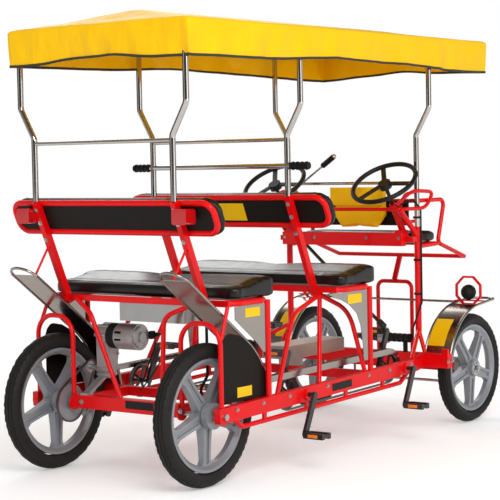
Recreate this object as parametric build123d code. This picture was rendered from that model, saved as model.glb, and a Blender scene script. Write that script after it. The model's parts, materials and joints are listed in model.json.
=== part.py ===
from build123d import *
import math
import os

# Four-seat pedal quadricycle with a fabric canopy, seen as it parks.
# +X forward, +Y to the riders' left, +Z up, ground at Z = 0, millimetres.
# Places along X are measured from the rear axle and shifted at the end,
# so that the finished vehicle is centred on the origin.

# Main dimensions
wheelbase = 1963.0

# Wheels
rear_tyre_radius = 286.0
front_tyre_radius = 261.5
overall_shift = (wheelbase + front_tyre_radius - rear_tyre_radius) / 2
rear_tyre_width = 72.0
front_tyre_width = 66.0
tyre_profile_rear = 56.0        # from the tread down to the rim flange
tyre_profile_front = 48.0
rim_wall = 5.0
rim_depth = 27.0
rim_side_inset = 10.0           # each side, rim narrower than the tyre
sprocket_radius = 76.0
motor_sprocket_radius = 24.0
chain_y = 316.0                 # drive chain of the left rear wheel
chain_width = 8.0
chain_height = 8.0
chain_gap = 0.4
spoke_count = 5
spoke_root_width = 58.0
spoke_tip_width = 44.0
spoke_root_thickness = 42.0
spoke_tip_thickness = 27.0
spoke_groove = 6.0
hub_radius = 40.0
hub_width = 76.0
drum_radius = 52.0
drum_width = 30.0
axle_radius = 8.0
axle_running_gap = 0.05
seat_gap = 0.3                  # gap where one piece rests on another
rear_wheel_y = 404.0
front_wheel_y = 462.0

# Side rails and lower tubes
rail_height = 60.0
rail_width = 30.0
rail_y = 495.0
rail_front_y = 425.0
rail_rear_z = 291.0
rail_rise = 43.0                # how much higher the rail is at its bend
rail_front_x = wheelbase - 363.0   # front ends of the rails, under the cross beam
rail_bend_x = rail_front_x - 220.0
rail_tail = 28.0
lower_tube_diameter = 20.0
lower_tube_drop = 24.0          # clear slot between rail and lower tube
lower_tube_rear_x = 130.0
lower_tube_front_x = rail_bend_x - 90.0
lower_tube_links = 4

# Red tube frame
frame_tube = 25.0
light_tube = 20.0
tube_bend = 55.0

# Rear cross beam and wheel hoops
rear_beam_height = 54.0
rear_beam_depth = 40.0
dropout_y = 292.0
dropout_thickness = 8.0
dropout_radius = 30.0
hoop_top_z = 648.0
inner_member_y = 270.0
middle_member_x = 312.0
crank_front_x = rail_bend_x - 60.0
floor_member_x = crank_front_x - 240.0
member_depth = 24.0
member_height = 40.0

# Front axle
front_beam_depth = 44.0
front_beam_height = 64.0
front_beam_half = 560.0
front_beam_z = 333.0
kingpin_y = 362.0
kingpin_radius = 9.0
kingpin_housing_radius = 17.0
kingpin_housing_height = 62.0
axle_beam_size = 44.0
axle_beam_z = 262.0
inner_arm_y = 215.0
support_half = 100.0            # central front support, half its width
support_x = wheelbase + 67.0
support_top_z = 662.0
knuckle_gap = 1.0
knuckle_thickness = 12.0
steer_arm = 95.0
steer_arm_z = 205.0
tie_rod_diameter = 14.0
tie_eye_height = 18.0

# Seats, two alike one behind the other
seat_pitch = 745.0
seat_tube_z = 722.0
seat_rear_x = 72.0
seat_front_x = 315.0
seat_half = 495.0
cushion_bottom_z = 734.8
cushion_thickness = 46.0
cushion_lobe_rise = 34.0
cushion_rear_x = 84.0
cushion_front_x = 388.0
cushion_notch = 62.0
cushion_half = 508.0

# Braces of the front seat: feet on the rail and the knees of the curved ones
apex_y = 400.0
brace_feet = (370.0, 667.0, 1015.0)
brace_shoulders = ((560.0, 437.0, 640.0), None, (985.0, 430.0, 620.0))

# Backrests
upright_y = 373.0
upright_width = 24.0
upright_depth = 30.0
upright_foot = (64.0, 712.0)    # x and z of the foot of the leaning upright
upright_top = (-116.0, 1130.0)
backrest_half = 536.0
backrest_low = 0.70             # where along the upright the loop's lower bar is
backrest_high = 0.985
backrest_corner = 48.0
board_thickness = 8.0
pad_thickness = 30.0
pad_overhang = 10.0             # how far the pads reach past the loops

# Stainless side panels, rear fenders and guards
panel_thickness = 2.5
panel_y = 495.0
panel_corner_x = 95.0
front_panel_arch = ((258.0, 400.0), (246.0, 500.0), (233.0, 560.0), (205.0, 612.0), (150.0, 652.0),
                    (90.0, 678.0), (20.0, 694.0))
fender_radius = 340.0
fender_start_deg = 5.0
fender_turn_deg = 53.5
fender_tip_x = -160.0
fender_inner_y = 338.0
fender_outer_y = 473.7
fender_edge_tube = 12.0
fender_sheet = 2.5
guard_thickness = 3.0
guard_corner = 52.0

# Front fenders
front_fender_radius = 312.0
front_fender_low_deg = 166.0
front_fender_top_deg = 96.0
front_fender_inner_y = 398.0
front_fender_outer_y = 536.0
front_fender_tip_x = wheelbase + 169.0

# Canopy and posts
post_diameter = 25.0
post_upper_y = 446.0
post_lower_y = 373.0
post_kink_high = 1512.0
post_kink_low = 1387.0
post_rear_x = -116.0
post_front_x = rail_front_x + 52.0
post_front_foot_z = 957.0
crossbar_z = 1368.0
grip_bar_z = 1257.0
front_crossbar_z = 1163.0
grip_bar_reach = 110.0
grip_diameter = 30.0
canopy_rear_x = -147.0
canopy_front_x = wheelbase + 169.0
canopy_half = 492.0
canopy_hem_z = 1681.0
canopy_eave_z = 1838.0
canopy_ridge_z = 1906.0
canopy_hip = 225.0
canopy_wall = 6.0
canopy_tube = 20.0
canopy_tube_rise = 5.5          # how far the eaves tube nests up into the sloping roof

# Front bench, in front of the riders
bench_beam_x = rail_front_x - 25.0
bench_beam_half = 345.0
bench_beam_height = 62.0
bench_beam_depth = 40.0
bench_beam_z = 899.0
bench_tube_z = 862.0
bench_front_x = rail_front_x + 235.0
bench_half = 385.0
bench_cushion_thickness = 46.0
bench_back_height = 118.0
bench_back_half = 335.0
bench_back_thickness = 12.0
arm_rail_z = 1078.0
arm_rail_x = rail_front_x + 300.0
foot_bar_x = wheelbase + 122.0
foot_bar_z = 792.0
pouch_y = (-229.0, 67.0)
pouch_z = (948.0, 1143.0)
pouch_thickness = 42.0

# Steering wheels
steer_wheel_y = 317.0
steer_hub_x = rail_front_x - 141.0
steer_hub_z = 1167.0
steer_tilt_deg = 34.0
steer_rim_radius = 152.0
steer_rim_tube = 22.0
steer_shaft_radius = 9.0
steer_column_radius = 16.0

# Lamps
lamp_case = (72.0, 62.0, 60.0)
lamp_ball_radius = 37.0
lamp_foot_z = front_tyre_radius + front_fender_radius + 10.5
lamp_plate = 4.0
lamp_ring_radius = 76.0

# Pedal cranks
crank_length = 170.0
crank_rear_x = 552.0
crank_lean_deg = 25.0
crank_outer_y = 548.0
crank_inner_y = 362.0
crank_arm_width = 26.0
crank_arm_thickness = 14.0
crank_spindle_radius = 9.0
pedal_length = 95.0
pedal_width = 62.0
pedal_height = 24.0
chainring_radius = 68.0
chainring_y = 408.0
bottom_bracket_radius = 24.0

# Drive unit and boxes
motor_x = 135.0
motor_z = 560.0
motor_shaft = (125.0, 422.0)
motor_radius = 55.0
motor_span = (38.0, 142.0)
band_span = (142.0, 196.0)
case_span = (196.0, 250.0)
case_top_radius = 50.0
case_low_radius = 38.0
controller_size = (160.0, 350.0, 74.0)
controller_place = (135.0, -95.0, 635.2)
step_box_size = (450.0, 150.0, 60.0)
step_box_place = (floor_member_x + 105.0, -40.0, 385.0)

# Lever on the left column, cables and hose
lever_clamp = (121.0, 144.0)    # along the column, measured from the wheel's hub
lever_knee = (-50.0, 243.0, 1149.0)   # x is measured from the rails' front ends
lever_top = (-70.0, 17.0, 1291.0)
cable_diameter = 8.0
hose_diameter = 12.0
boot_z = 433.0
boot_y = (-365.0, -150.0)


def at(x, y, z):
    """Point of the vehicle frame."""
    return Vector(x, y, z)


def rod(points, diameter, bend=0.0, closed=False):
    """Round bar or tube that follows straight runs with arcs between them."""
    if len(points) == 2:
        path = Line(*points)
    elif bend > 0:
        path = FilletPolyline(*points, radius=bend, close=closed)
    else:
        path = Polyline(*points, close=closed)
    section = Plane(origin=path @ 0, z_dir=path % 0) * Circle(diameter / 2)
    return sweep(section, path=path)


def cylinder_between(start, end, radius):
    """Plain round bar between two points."""
    start = Vector(*start)
    end = Vector(*end)
    plane = Plane(origin=start, z_dir=end - start)
    return plane * extrude(Circle(radius), amount=(end - start).length)


def bar(start, end, width, height, side=(0, 1, 0)):
    """Rectangular bar between two points; width is measured along side."""
    start = Vector(*start)
    end = Vector(*end)
    plane = Plane(origin=start, z_dir=end - start, x_dir=side)
    return plane * extrude(Rectangle(width, height), amount=(end - start).length)


def block(low, high):
    """Box between two opposite corners."""
    size = [high[i] - low[i] for i in range(3)]
    centre = [(high[i] + low[i]) / 2 for i in range(3)]
    return Pos(*centre) * Box(*size)


def sheet_xz(points, y_centre, thickness):
    """Flat plate that stands along X and Z, centred on y_centre."""
    outline = make_face(Polyline(*[(x, z) for x, z in points], close=True))
    plane = Plane(origin=(0, y_centre + thickness / 2, 0), x_dir=(1, 0, 0), z_dir=(0, -1, 0))
    return plane * extrude(outline, amount=thickness)


def gathered(result):
    """One compound from a boolean result, whether it is a shape or a list of shapes."""
    shapes = result if isinstance(result, list) else [result]
    return Compound(children=[solid for shape in shapes for solid in shape.solids()])


def fuse(pieces):
    """One solid from pieces that touch."""
    solids = []
    for piece in pieces:
        solids.extend(piece.solids())
    return gathered(solids[0].fuse(*solids[1:]))


def trimmed(shape, *others):
    """The shape without what its welded neighbours fill."""
    fillers = []
    for other in others:
        fillers.extend(other.solids())
    kept = []
    for solid in shape.solids():
        kept.extend(gathered(solid.cut(*fillers)).solids())
    return Compound(children=kept)


def loose(pieces):
    """Several solids kept apart in one sub-part."""
    solids = []
    for piece in pieces:
        solids.extend(piece.solids())
    return Compound(children=solids)


def both_sides(make):
    """The same piece on the left and on the right."""
    return [make(1), make(-1)]


def rail_point(x):
    """Y and Z of the rail's centre line at x, for the left side."""
    if x <= rail_bend_x:
        return rail_y, rail_rear_z + rail_rise * x / rail_bend_x
    share = (x - rail_bend_x) / (rail_front_x - rail_bend_x)
    return rail_y + (rail_front_y - rail_y) * share, rail_rear_z + rail_rise


def rail_top(x):
    """Height of the rail's upper face."""
    return rail_point(x)[1] + rail_height / 2


def upright_point(share, x_shift):
    """X and Z of the leaning upright's centre line, 0 at its foot."""
    x = upright_foot[0] + (upright_top[0] - upright_foot[0]) * share
    z = upright_foot[1] + (upright_top[1] - upright_foot[1]) * share
    return x + x_shift, z


# Wheels

def tyre(radius, width, profile):
    """Road tyre: a rounded carcass on its two beads, axis along Y."""
    bead = radius - profile
    half = width / 2
    bead_half = half - rim_side_inset
    with BuildSketch(Plane.XY) as section:
        with BuildLine():
            Spline(
                (bead, bead_half),
                (radius - profile * 0.55, half),
                (radius - profile * 0.12, half * 0.55),
                (radius, 0),
                (radius - profile * 0.12, -half * 0.55),
                (radius - profile * 0.55, -half),
                (bead, -bead_half),
            )
            Polyline((bead, -bead_half), (bead - rim_wall, -bead_half), (bead - rim_wall, bead_half),
                     (bead, bead_half))
        make_face()
    return revolve(section.sketch, axis=Axis.Y)


def cast_wheel(radius, width, profile, hub_side):
    """Cast wheel: grooved rim, hub with a drum on one side and ribbed spokes that flare at both ends."""
    seat = radius - profile - rim_wall - seat_gap
    half = width / 2 - rim_side_inset - seat_gap
    inner = seat - rim_depth
    with BuildSketch(Plane.XY) as section:
        with BuildLine():
            Polyline(
                (inner, -half * 0.45),
                (inner + rim_depth * 0.55, -half),
                (seat, -half),
                (seat, half),
                (inner + rim_depth * 0.55, half),
                (inner, half * 0.45),
                close=True,
            )
        make_face()
    rim = revolve(section.sketch, axis=Axis.Y)
    hub = Rot(90, 0, 0) * Cylinder(hub_radius, hub_width)
    drum_centre = hub_side * (hub_width / 2 + drum_width / 2 - 12)
    drum = Pos(0, drum_centre, 0) * (Rot(90, 0, 0) * Cylinder(drum_radius, drum_width))
    whole = fuse([rim, hub, drum, wheel_spokes(inner + rim_depth * 0.4)])
    bore = Rot(90, 0, 0) * Cylinder(axle_radius + axle_running_gap, 4 * hub_width)
    return whole - bore


def spoke_body(reach, skin):
    """Turned body that sets the spokes' thickness from hub to rim, thinner by skin on each face."""
    root = spoke_root_thickness / 2 - skin
    tip = spoke_tip_thickness / 2 - skin
    profile = [(0, -root), (hub_radius, -root), (reach * 0.8, -tip), (reach + 20, -tip),
               (reach + 20, tip), (reach * 0.8, tip), (hub_radius, root), (0, root)]
    return revolve(make_face(Polyline(*profile, close=True)), axis=Axis.Y)


def wheel_spokes(reach):
    """Spokes that flare at both ends, with a groove down each face."""
    root = spoke_root_width / 2
    waist = spoke_tip_width / 2
    flare = spoke_tip_width * 0.85
    start = hub_radius * 0.4
    blade = make_face(Polyline(
        (start, -root), (reach * 0.5, -waist), (reach * 0.84, -waist), (reach, -flare),
        (reach, flare), (reach * 0.84, waist), (reach * 0.5, waist), (start, root), close=True))
    groove_start = hub_radius + 14
    groove_length = reach - 16 - groove_start
    groove = Pos(groove_start + groove_length / 2, 0) * RectangleRounded(groove_length, spoke_tip_width * 0.42, 6)
    outline = Circle(hub_radius + 8)
    grooves = []
    for index in range(spoke_count):
        turn = Rot(0, 0, 360 / spoke_count * index - 90)
        outline = outline + turn * blade
        grooves.append(turn * groove)
    plate = Plane.XZ * extrude(outline, amount=spoke_root_thickness, both=True)
    cuts = Plane.XZ * extrude(Sketch() + grooves, amount=spoke_root_thickness, both=True)
    return (plate & spoke_body(reach, 0)) - (cuts - spoke_body(reach, spoke_groove))


def drive_sprocket():
    """Plain disc and boss on the inner side of the driven wheel."""
    disc = Pos(0, -(rear_wheel_y - chain_y), 0) * (Rot(90, 0, 0) * Cylinder(sprocket_radius, 4))
    low = -(rear_wheel_y - chain_y) - 2
    high = -hub_width / 2 - 10
    boss = Pos(0, (low + high) / 2, 0) * (Rot(90, 0, 0) * Cylinder(34, high - low))
    bore = Rot(90, 0, 0) * Cylinder(axle_radius + axle_running_gap, 4 * hub_width)
    return fuse([disc, boss]) - bore


# Frame

def side_rail(side):
    """Side rail with its toed-in front, lower tube, links and rear axle plate."""
    start = at(-rail_tail, side * rail_y, rail_point(-rail_tail)[1])
    bend = at(rail_bend_x, side * rail_y, rail_point(rail_bend_x)[1])
    front = at(rail_front_x, side * rail_front_y, rail_point(rail_front_x)[1])
    pieces = [bar(start, bend, rail_width, rail_height), bar(bend, front, rail_width, rail_height)]
    pieces.append(Pos(*bend) * Cylinder(rail_width / 2, rail_height))
    plate = Rot(90, 0, 0) * Cylinder(dropout_radius, rail_width)
    pieces.append(Pos(0, side * rail_y, rear_tyre_radius) * plate)
    drop = rail_height / 2 + lower_tube_drop + lower_tube_diameter / 2
    ends = (lower_tube_rear_x, lower_tube_front_x)
    low = [at(x, side * rail_y, rail_point(x)[1] - drop) for x in ends]
    high = [at(x + shift, side * rail_y, rail_point(x)[1] - rail_height / 2 + 4)
            for x, shift in zip(ends, (-60, 60))]
    pieces.append(rod([high[0], low[0], low[1], high[1]], lower_tube_diameter, bend=30))
    for index in range(lower_tube_links):
        x = ends[0] + (ends[1] - ends[0]) * (index + 0.5) / lower_tube_links
        z = rail_point(x)[1]
        pieces.append(block((x - 10, side * rail_y - 5, z - drop),
                            (x + 10, side * rail_y + 5, z - rail_height / 2 + 1)))
    beyond = block((rail_front_x - seat_gap, -2 * rail_y, 0), (2 * rail_front_x, 2 * rail_y, 2 * rail_rear_z))
    whole = fuse(pieces) - beyond
    sideways = Rot(90, 0, 0)
    for x in (crank_rear_x, crank_front_x):
        place = Pos(x, side * rail_y, rail_point(x)[1])
        whole = whole + place * (sideways * Cylinder(bottom_bracket_radius, rail_width + 16))
        whole = whole - place * (sideways * Cylinder(crank_spindle_radius + axle_running_gap, 200))
    axle_bore = sideways * Cylinder(axle_radius + axle_running_gap, 80)
    return whole - Pos(0, side * rail_y, rear_tyre_radius) * axle_bore


def rear_subframe():
    """Rear cross beam with its axle plates, wheel hoops and the members that join the rails."""
    z = rear_tyre_radius + 10
    pieces = [bar((0, -dropout_y, z), (0, dropout_y, z), rear_beam_height, rear_beam_depth, side=(0, 0, 1))]
    for side in (1, -1):
        plate = Rot(90, 0, 0) * Cylinder(dropout_radius, dropout_thickness)
        pieces.append(Pos(0, side * dropout_y, rear_tyre_radius) * plate)
        inner_z = rail_point(middle_member_x)[1]
        pieces.append(bar((0, side * inner_member_y, z), (middle_member_x, side * inner_member_y, inner_z),
                          24, 40))
        hoop = [
            at(0, side * (dropout_y + 2), rear_tyre_radius + 20),
            at(0, side * (dropout_y + 2), hoop_top_z),
            at(0, side * rail_y, hoop_top_z),
            at(0, side * rail_y, rail_top(0) - 2),
        ]
        pieces.append(rod(hoop, light_tube, bend=85))
    reach = rail_y - rail_width / 2
    for x in (middle_member_x, floor_member_x):
        member_z = rail_point(x)[1]
        pieces.append(bar((x, -reach, member_z), (x, reach, member_z), member_height, member_depth,
                          side=(0, 0, 1)))
    whole = fuse(pieces)
    for side in (1, -1):
        bore = Rot(90, 0, 0) * Cylinder(axle_radius + axle_running_gap, dropout_thickness + 2)
        whole = whole - Pos(0, side * dropout_y, rear_tyre_radius) * bore
    return whole


def rear_axle(side):
    """Rear wheel axle, held in the inner plate and by a nut outside the rail."""
    inner = dropout_y - dropout_thickness / 2
    outer = rail_y + rail_width / 2 + 14
    pieces = [cylinder_between((0, side * inner, rear_tyre_radius), (0, side * outer, rear_tyre_radius), axle_radius)]
    low = rail_y + rail_width / 2 + seat_gap
    high = outer - 2
    nut = Rot(90, 0, 0) * extrude(RegularPolygon(14, 6), amount=(high - low) / 2, both=True)
    pieces.append(Pos(0, side * (low + high) / 2, rear_tyre_radius) * nut)
    return fuse(pieces)


def front_subframe():
    """Front cross beam, axle beam with kingpin housings and the central support."""
    x = rail_front_x + front_beam_depth / 2
    pieces = [bar((x, -front_beam_half, front_beam_z), (x, front_beam_half, front_beam_z),
                  front_beam_height, front_beam_depth, side=(0, 0, 1))]
    top = front_beam_z + front_beam_height / 2
    for side in (1, -1):
        ear_y = (side * (front_beam_half - 30), side * front_beam_half)
        pieces.append(block((x - front_beam_depth / 2, min(ear_y), top - 1), (x - 6, max(ear_y), top + 26)))
        pieces.append(bar((x, side * inner_arm_y, front_beam_z - 12),
                          (wheelbase, side * inner_arm_y, axle_beam_z + 6), 30, 40))
        housing = Cylinder(kingpin_housing_radius, kingpin_housing_height)
        pieces.append(Pos(wheelbase, side * kingpin_y, axle_beam_z) * housing)
    pieces.append(bar((wheelbase, -kingpin_y, axle_beam_z), (wheelbase, kingpin_y, axle_beam_z),
                      axle_beam_size, axle_beam_size, side=(0, 0, 1)))
    base = axle_beam_z
    support = [at(support_x, support_half, base), at(support_x, support_half, support_top_z),
               at(support_x, -support_half, support_top_z), at(support_x, -support_half, base)]
    pieces.append(rod(support, light_tube, bend=35))
    for side in (1, -1):
        pieces.append(block((wheelbase, side * support_half - 14, base - 14),
                            (support_x + 12, side * support_half + 14, base + 14)))
    whole = fuse(pieces)
    for side in (1, -1):
        bore = Cylinder(kingpin_radius + axle_running_gap, 2 * kingpin_housing_height)
        whole = whole - Pos(wheelbase, side * kingpin_y, axle_beam_z) * bore
    return whole


def knuckle(side):
    """Steering knuckle: fork over the housing, kingpin, stub axle and steering arm."""
    reach = kingpin_housing_height / 2 + knuckle_gap
    outer = kingpin_y + kingpin_housing_radius + 8
    pieces = []
    for direction in (1, -1):
        low = axle_beam_z + direction * reach
        high = low + direction * knuckle_thickness
        plate = Cylinder(kingpin_housing_radius, knuckle_thickness)
        plate = Pos(wheelbase, side * kingpin_y, (low + high) / 2) * plate
        arm_y = sorted((side * kingpin_y, side * (outer + 8)))
        arm = block((wheelbase - 16, arm_y[0], min(low, high)), (wheelbase + 16, arm_y[1], max(low, high)))
        pieces.extend([plate, arm])
    back_y = sorted((side * outer, side * (outer + 10)))
    half = reach + knuckle_thickness
    pieces.append(block((wheelbase - 16, back_y[0], axle_beam_z - half),
                        (wheelbase + 16, back_y[1], axle_beam_z + half)))
    pin_half = reach + knuckle_thickness - 1
    pieces.append(cylinder_between((wheelbase, side * kingpin_y, axle_beam_z - pin_half),
                                   (wheelbase, side * kingpin_y, axle_beam_z + pin_half), kingpin_radius))
    end = front_wheel_y + hub_width / 2 + 20
    pieces.append(cylinder_between((wheelbase, side * (outer + 5), front_tyre_radius),
                                   (wheelbase, side * end, front_tyre_radius), axle_radius))
    nut = Rot(90, 0, 0) * extrude(RegularPolygon(14, 6), amount=6, both=True)
    pieces.append(Pos(wheelbase, side * (end - 10), front_tyre_radius) * nut)
    arm_low = axle_beam_z - half
    pieces.append(block((wheelbase - steer_arm - 12, side * kingpin_y - 10, arm_low - 8),
                        (wheelbase + 10, side * kingpin_y + 10, arm_low + 2)))
    pin = cylinder_between((wheelbase - steer_arm, side * kingpin_y, arm_low - 8 - tie_eye_height - 4),
                           (wheelbase - steer_arm, side * kingpin_y, arm_low), 5)
    pieces.append(pin)
    return fuse(pieces)


def tie_rod():
    """Tie rod between the two steering arms, with an eye at each end."""
    half = kingpin_housing_height / 2 + knuckle_gap + knuckle_thickness
    z = axle_beam_z - half - 8 - 1 - tie_eye_height / 2
    x = wheelbase - steer_arm
    pieces = [cylinder_between((x, -kingpin_y + 10, z), (x, kingpin_y - 10, z), tie_rod_diameter / 2)]
    for side in (1, -1):
        pieces.append(Pos(x, side * kingpin_y, z) * Cylinder(13, tie_eye_height))
    whole = fuse(pieces)
    for side in (1, -1):
        whole = whole - Pos(x, side * kingpin_y, z) * Cylinder(5 + axle_running_gap, 40)
    return whole


def seat_loop(x_shift):
    """Tube loop under a seat cushion."""
    r = x_shift
    points = [at(seat_rear_x + r, -seat_half, seat_tube_z), at(seat_front_x + r, -seat_half, seat_tube_z),
              at(seat_front_x + r, seat_half, seat_tube_z), at(seat_rear_x + r, seat_half, seat_tube_z)]
    return rod(points, frame_tube, bend=tube_bend, closed=True)


def front_leg(side, x_shift):
    """Tube from the seat's front corner straight down to the rail."""
    x = seat_front_x + x_shift - 8
    return cylinder_between((x, side * rail_y, rail_top(x) - 2), (x, side * seat_half, seat_tube_z),
                            frame_tube / 2)


def leaning_upright(side, x_shift):
    """Flat upright that carries the backrest, with a rear stiffening tube."""
    low_x, low_z = upright_point(-0.03, x_shift)
    high_x, high_z = upright_point(1.0, x_shift)
    return bar((low_x, side * upright_y, low_z), (high_x, side * upright_y, high_z), upright_width,
               upright_depth)


def fender_stay(side):
    """Thin rod from the upright down to a foot on the fender's high end."""
    turn = math.radians(fender_turn_deg)
    normal = at(math.cos(turn), 0, math.sin(turn))
    x = fender_tip_x + 20
    tip_z = fender_tip(fender_radius)[1]
    foot = at(x, side * upright_y, tip_z - 20 / math.tan(turn)) + normal * (fender_sheet / 2 + seat_gap)
    plate = cylinder_between(tuple(foot), tuple(foot + normal * 4), 10)
    top_x, top_z = upright_point(0.58, 0)
    stay = cylinder_between(tuple(foot + normal * 3), (top_x, side * upright_y, top_z), 5)
    return fuse([plate, stay])


def backrest_loop(x_shift):
    """Tube loop with rounded corners round the backrest board."""
    low_x, low_z = upright_point(backrest_low, x_shift)
    high_x, high_z = upright_point(backrest_high, x_shift)
    forward = (upright_depth + frame_tube) / 2 - 3
    points = [at(low_x + forward, -backrest_half, low_z), at(high_x + forward, -backrest_half, high_z),
              at(high_x + forward, backrest_half, high_z), at(low_x + forward, backrest_half, low_z)]
    return rod(points, frame_tube, bend=backrest_corner, closed=True)


def rear_seat_frame():
    """Rear seat loop, legs, leaning uprights, backrest loop and the struts down to the cross beam."""
    pieces = [seat_loop(0), backrest_loop(0)]
    for side in (1, -1):
        pieces.append(front_leg(side, 0))
        pieces.append(leaning_upright(side, 0))
        foot_x, foot_z = upright_point(0, 0)
        pieces.append(block((foot_x - 30, side * upright_y - 10, seat_tube_z - 14),
                            (foot_x + 30, side * upright_y + 10, seat_tube_z + 6)))
        pieces.append(bar((foot_x, -seat_half, seat_tube_z), (foot_x, seat_half, seat_tube_z), 24, 20,
                          side=(0, 0, 1)))
        strut = [at(foot_x - 4, side * 330, seat_tube_z), at(10, side * 200, 665),
                 at(0, side * (30 if side > 0 else 190), rear_tyre_radius + 30)]
        pieces.append(rod(strut, light_tube, bend=60))
        pieces.append(cylinder_between((foot_x, side * (seat_half - 8), seat_tube_z),
                                       (6, side * rail_y, hoop_top_z - 60), 8))
        pieces.append(fender_stay(side))
    return fuse(pieces)


def front_seat_frame():
    """Front seat loop, legs, arched braces, leaning uprights and backrest loop."""
    shift = seat_pitch
    pieces = [seat_loop(shift), backrest_loop(shift)]
    foot_x, foot_z = upright_point(0, shift)
    pieces.append(bar((foot_x, -seat_half, seat_tube_z), (foot_x, seat_half, seat_tube_z), 24, 20,
                      side=(0, 0, 1)))
    for side in (1, -1):
        pieces.append(front_leg(side, shift))
        pieces.append(leaning_upright(side, shift))
        apex = at(foot_x, side * apex_y, seat_tube_z - 22)
        pieces.append(block((foot_x - 14, min(side * upright_y, side * (apex_y + 8)), seat_tube_z - 32),
                            (foot_x + 14, max(side * upright_y, side * (apex_y + 8)), seat_tube_z - 4)))
        for foot_at, shoulder in zip(brace_feet, brace_shoulders):
            foot = at(foot_at, side * (rail_y - 5), rail_top(foot_at) - 4)
            if shoulder is None:
                pieces.append(rod([apex, foot], light_tube))
            else:
                knee = at(shoulder[0], side * shoulder[1], shoulder[2])
                pieces.append(rod([apex, knee, foot], light_tube, bend=130))
    return fuse(pieces)


def backrest_boards():
    """Black boards that fill both backrest loops, and the board behind the front bench."""
    boards = [bench_back()]
    for shift in (0, seat_pitch):
        low_x, low_z = upright_point(backrest_low, shift)
        high_x, high_z = upright_point(backrest_high, shift)
        forward = (upright_depth + frame_tube) / 2 - 3
        inset = frame_tube / 2 + seat_gap
        length = math.hypot(high_x - low_x, high_z - low_z) - 2 * inset
        middle = at((low_x + high_x) / 2 + forward, 0, (low_z + high_z) / 2)
        up = at(high_x - low_x, 0, high_z - low_z)
        plane = Plane(origin=middle, x_dir=(0, 1, 0), z_dir=up.cross(at(0, 1, 0)))
        plate = RectangleRounded(2 * (backrest_half - inset), length, backrest_corner - inset)
        boards.append(plane * extrude(plate, amount=board_thickness / 2, both=True))
    return loose(boards)


def backrest_pads():
    """Padded fronts of both backrests."""
    pads = []
    for shift in (0, seat_pitch):
        low_x, low_z = upright_point(backrest_low, shift)
        high_x, high_z = upright_point(backrest_high, shift)
        forward = (upright_depth + frame_tube) / 2 - 3 + frame_tube / 2 / math.cos(pad_lean()) + seat_gap
        edge = frame_tube / 2 + pad_overhang
        length = math.hypot(high_x - low_x, high_z - low_z) + 2 * edge
        middle = at((low_x + high_x) / 2 + forward, 0, (low_z + high_z) / 2)
        up = at(high_x - low_x, 0, high_z - low_z)
        plane = Plane(origin=middle, x_dir=(0, 1, 0), z_dir=at(0, 1, 0).cross(up))
        plate = RectangleRounded(2 * (backrest_half + edge), length, backrest_corner + edge)
        outward = plane.z_dir.X
        amount = pad_thickness if outward > 0 else -pad_thickness
        pads.append(plane * extrude(plate, amount=amount))
    return loose(pads)


def pad_lean():
    """Angle of the leaning upright from vertical, in radians."""
    return math.atan2(upright_foot[0] - upright_top[0], upright_top[1] - upright_foot[1])


def seat_cushion(x_shift):
    """Bench cushion: a straight back edge and two raised round lobes in front."""
    low = cushion_bottom_z
    front = cushion_front_x + x_shift
    rear = cushion_rear_x + x_shift
    outline = FilletPolyline(
        (rear, -cushion_half), (front, -cushion_half), (front, -cushion_half * 0.22),
        (front - cushion_notch, 0), (front, cushion_half * 0.22), (front, cushion_half), (rear, cushion_half),
        radius=45, close=True)
    body = Pos(0, 0, low) * extrude(make_face(outline), amount=cushion_thickness + cushion_lobe_rise)
    profile = make_face(Polyline(
        (rear - 10, low - 1), (front + 10, low - 1), (front + 10, low + cushion_thickness + cushion_lobe_rise),
        (front - 95, low + cushion_thickness + cushion_lobe_rise - 4), (front - 210, low + cushion_thickness + 2),
        (rear - 10, low + cushion_thickness), close=True))
    plane = Plane(origin=(0, cushion_half + 5, 0), x_dir=(1, 0, 0), z_dir=(0, -1, 0))
    keep = plane * extrude(profile, amount=2 * cushion_half + 10)
    return body & keep


def side_panels():
    """Stainless sheets at the seats' ends: the rear pair is cut to the fender, the front pair tapers down."""
    sheets = []
    top = seat_tube_z - frame_tube / 2 - seat_gap
    front = seat_front_x - 8 - frame_tube / 2 - seat_gap
    clear = fender_radius + fender_edge_tube + 4
    steps = 7
    for side in (1, -1):
        arc = []
        for index in range(steps):
            angle = math.radians(12 + (fender_turn_deg - 12) * index / (steps - 1))
            arc.append((clear * math.cos(angle), rear_tyre_radius + clear * math.sin(angle)))
        arc = [point for point in arc if point[0] < front]
        rise = -1 / math.tan(math.radians(fender_turn_deg))
        last_x, last_z = arc[-1]
        corner_z = last_z + (panel_corner_x - last_x) * rise
        points = [(front, top), (front, arc[0][1])] + arc + [(panel_corner_x, corner_z), (panel_corner_x, top)]
        sheets.append(sheet_xz(points, side * panel_y, panel_thickness))
        points = [(front + seat_pitch, top), (front + seat_pitch, 400)]
        points += [(x + seat_pitch, z) for x, z in front_panel_arch]
        points.append((points[-1][0], top))
        sheets.append(sheet_xz(points, side * panel_y, panel_thickness))
    return loose(sheets)


def fender_tip(radius):
    """Upper end of the straight run of the fender."""
    turn = math.radians(fender_turn_deg)
    x, z = radius * math.cos(turn), rear_tyre_radius + radius * math.sin(turn)
    return fender_tip_x, z + (x - fender_tip_x) / math.tan(turn)


def fender_path(radius, y):
    """Edge of the rear fender: an arc and the tangent run up to the tip."""
    start = math.radians(fender_start_deg)
    turn = math.radians(fender_turn_deg)
    middle = (start + turn) / 2
    centre_z = rear_tyre_radius
    ends = [at(radius * math.cos(a), y, centre_z + radius * math.sin(a)) for a in (start, middle, turn)]
    tip_x, tip_z = fender_tip(radius)
    return [ThreePointArc(*ends), Line(ends[2], at(tip_x, y, tip_z))]


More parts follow.
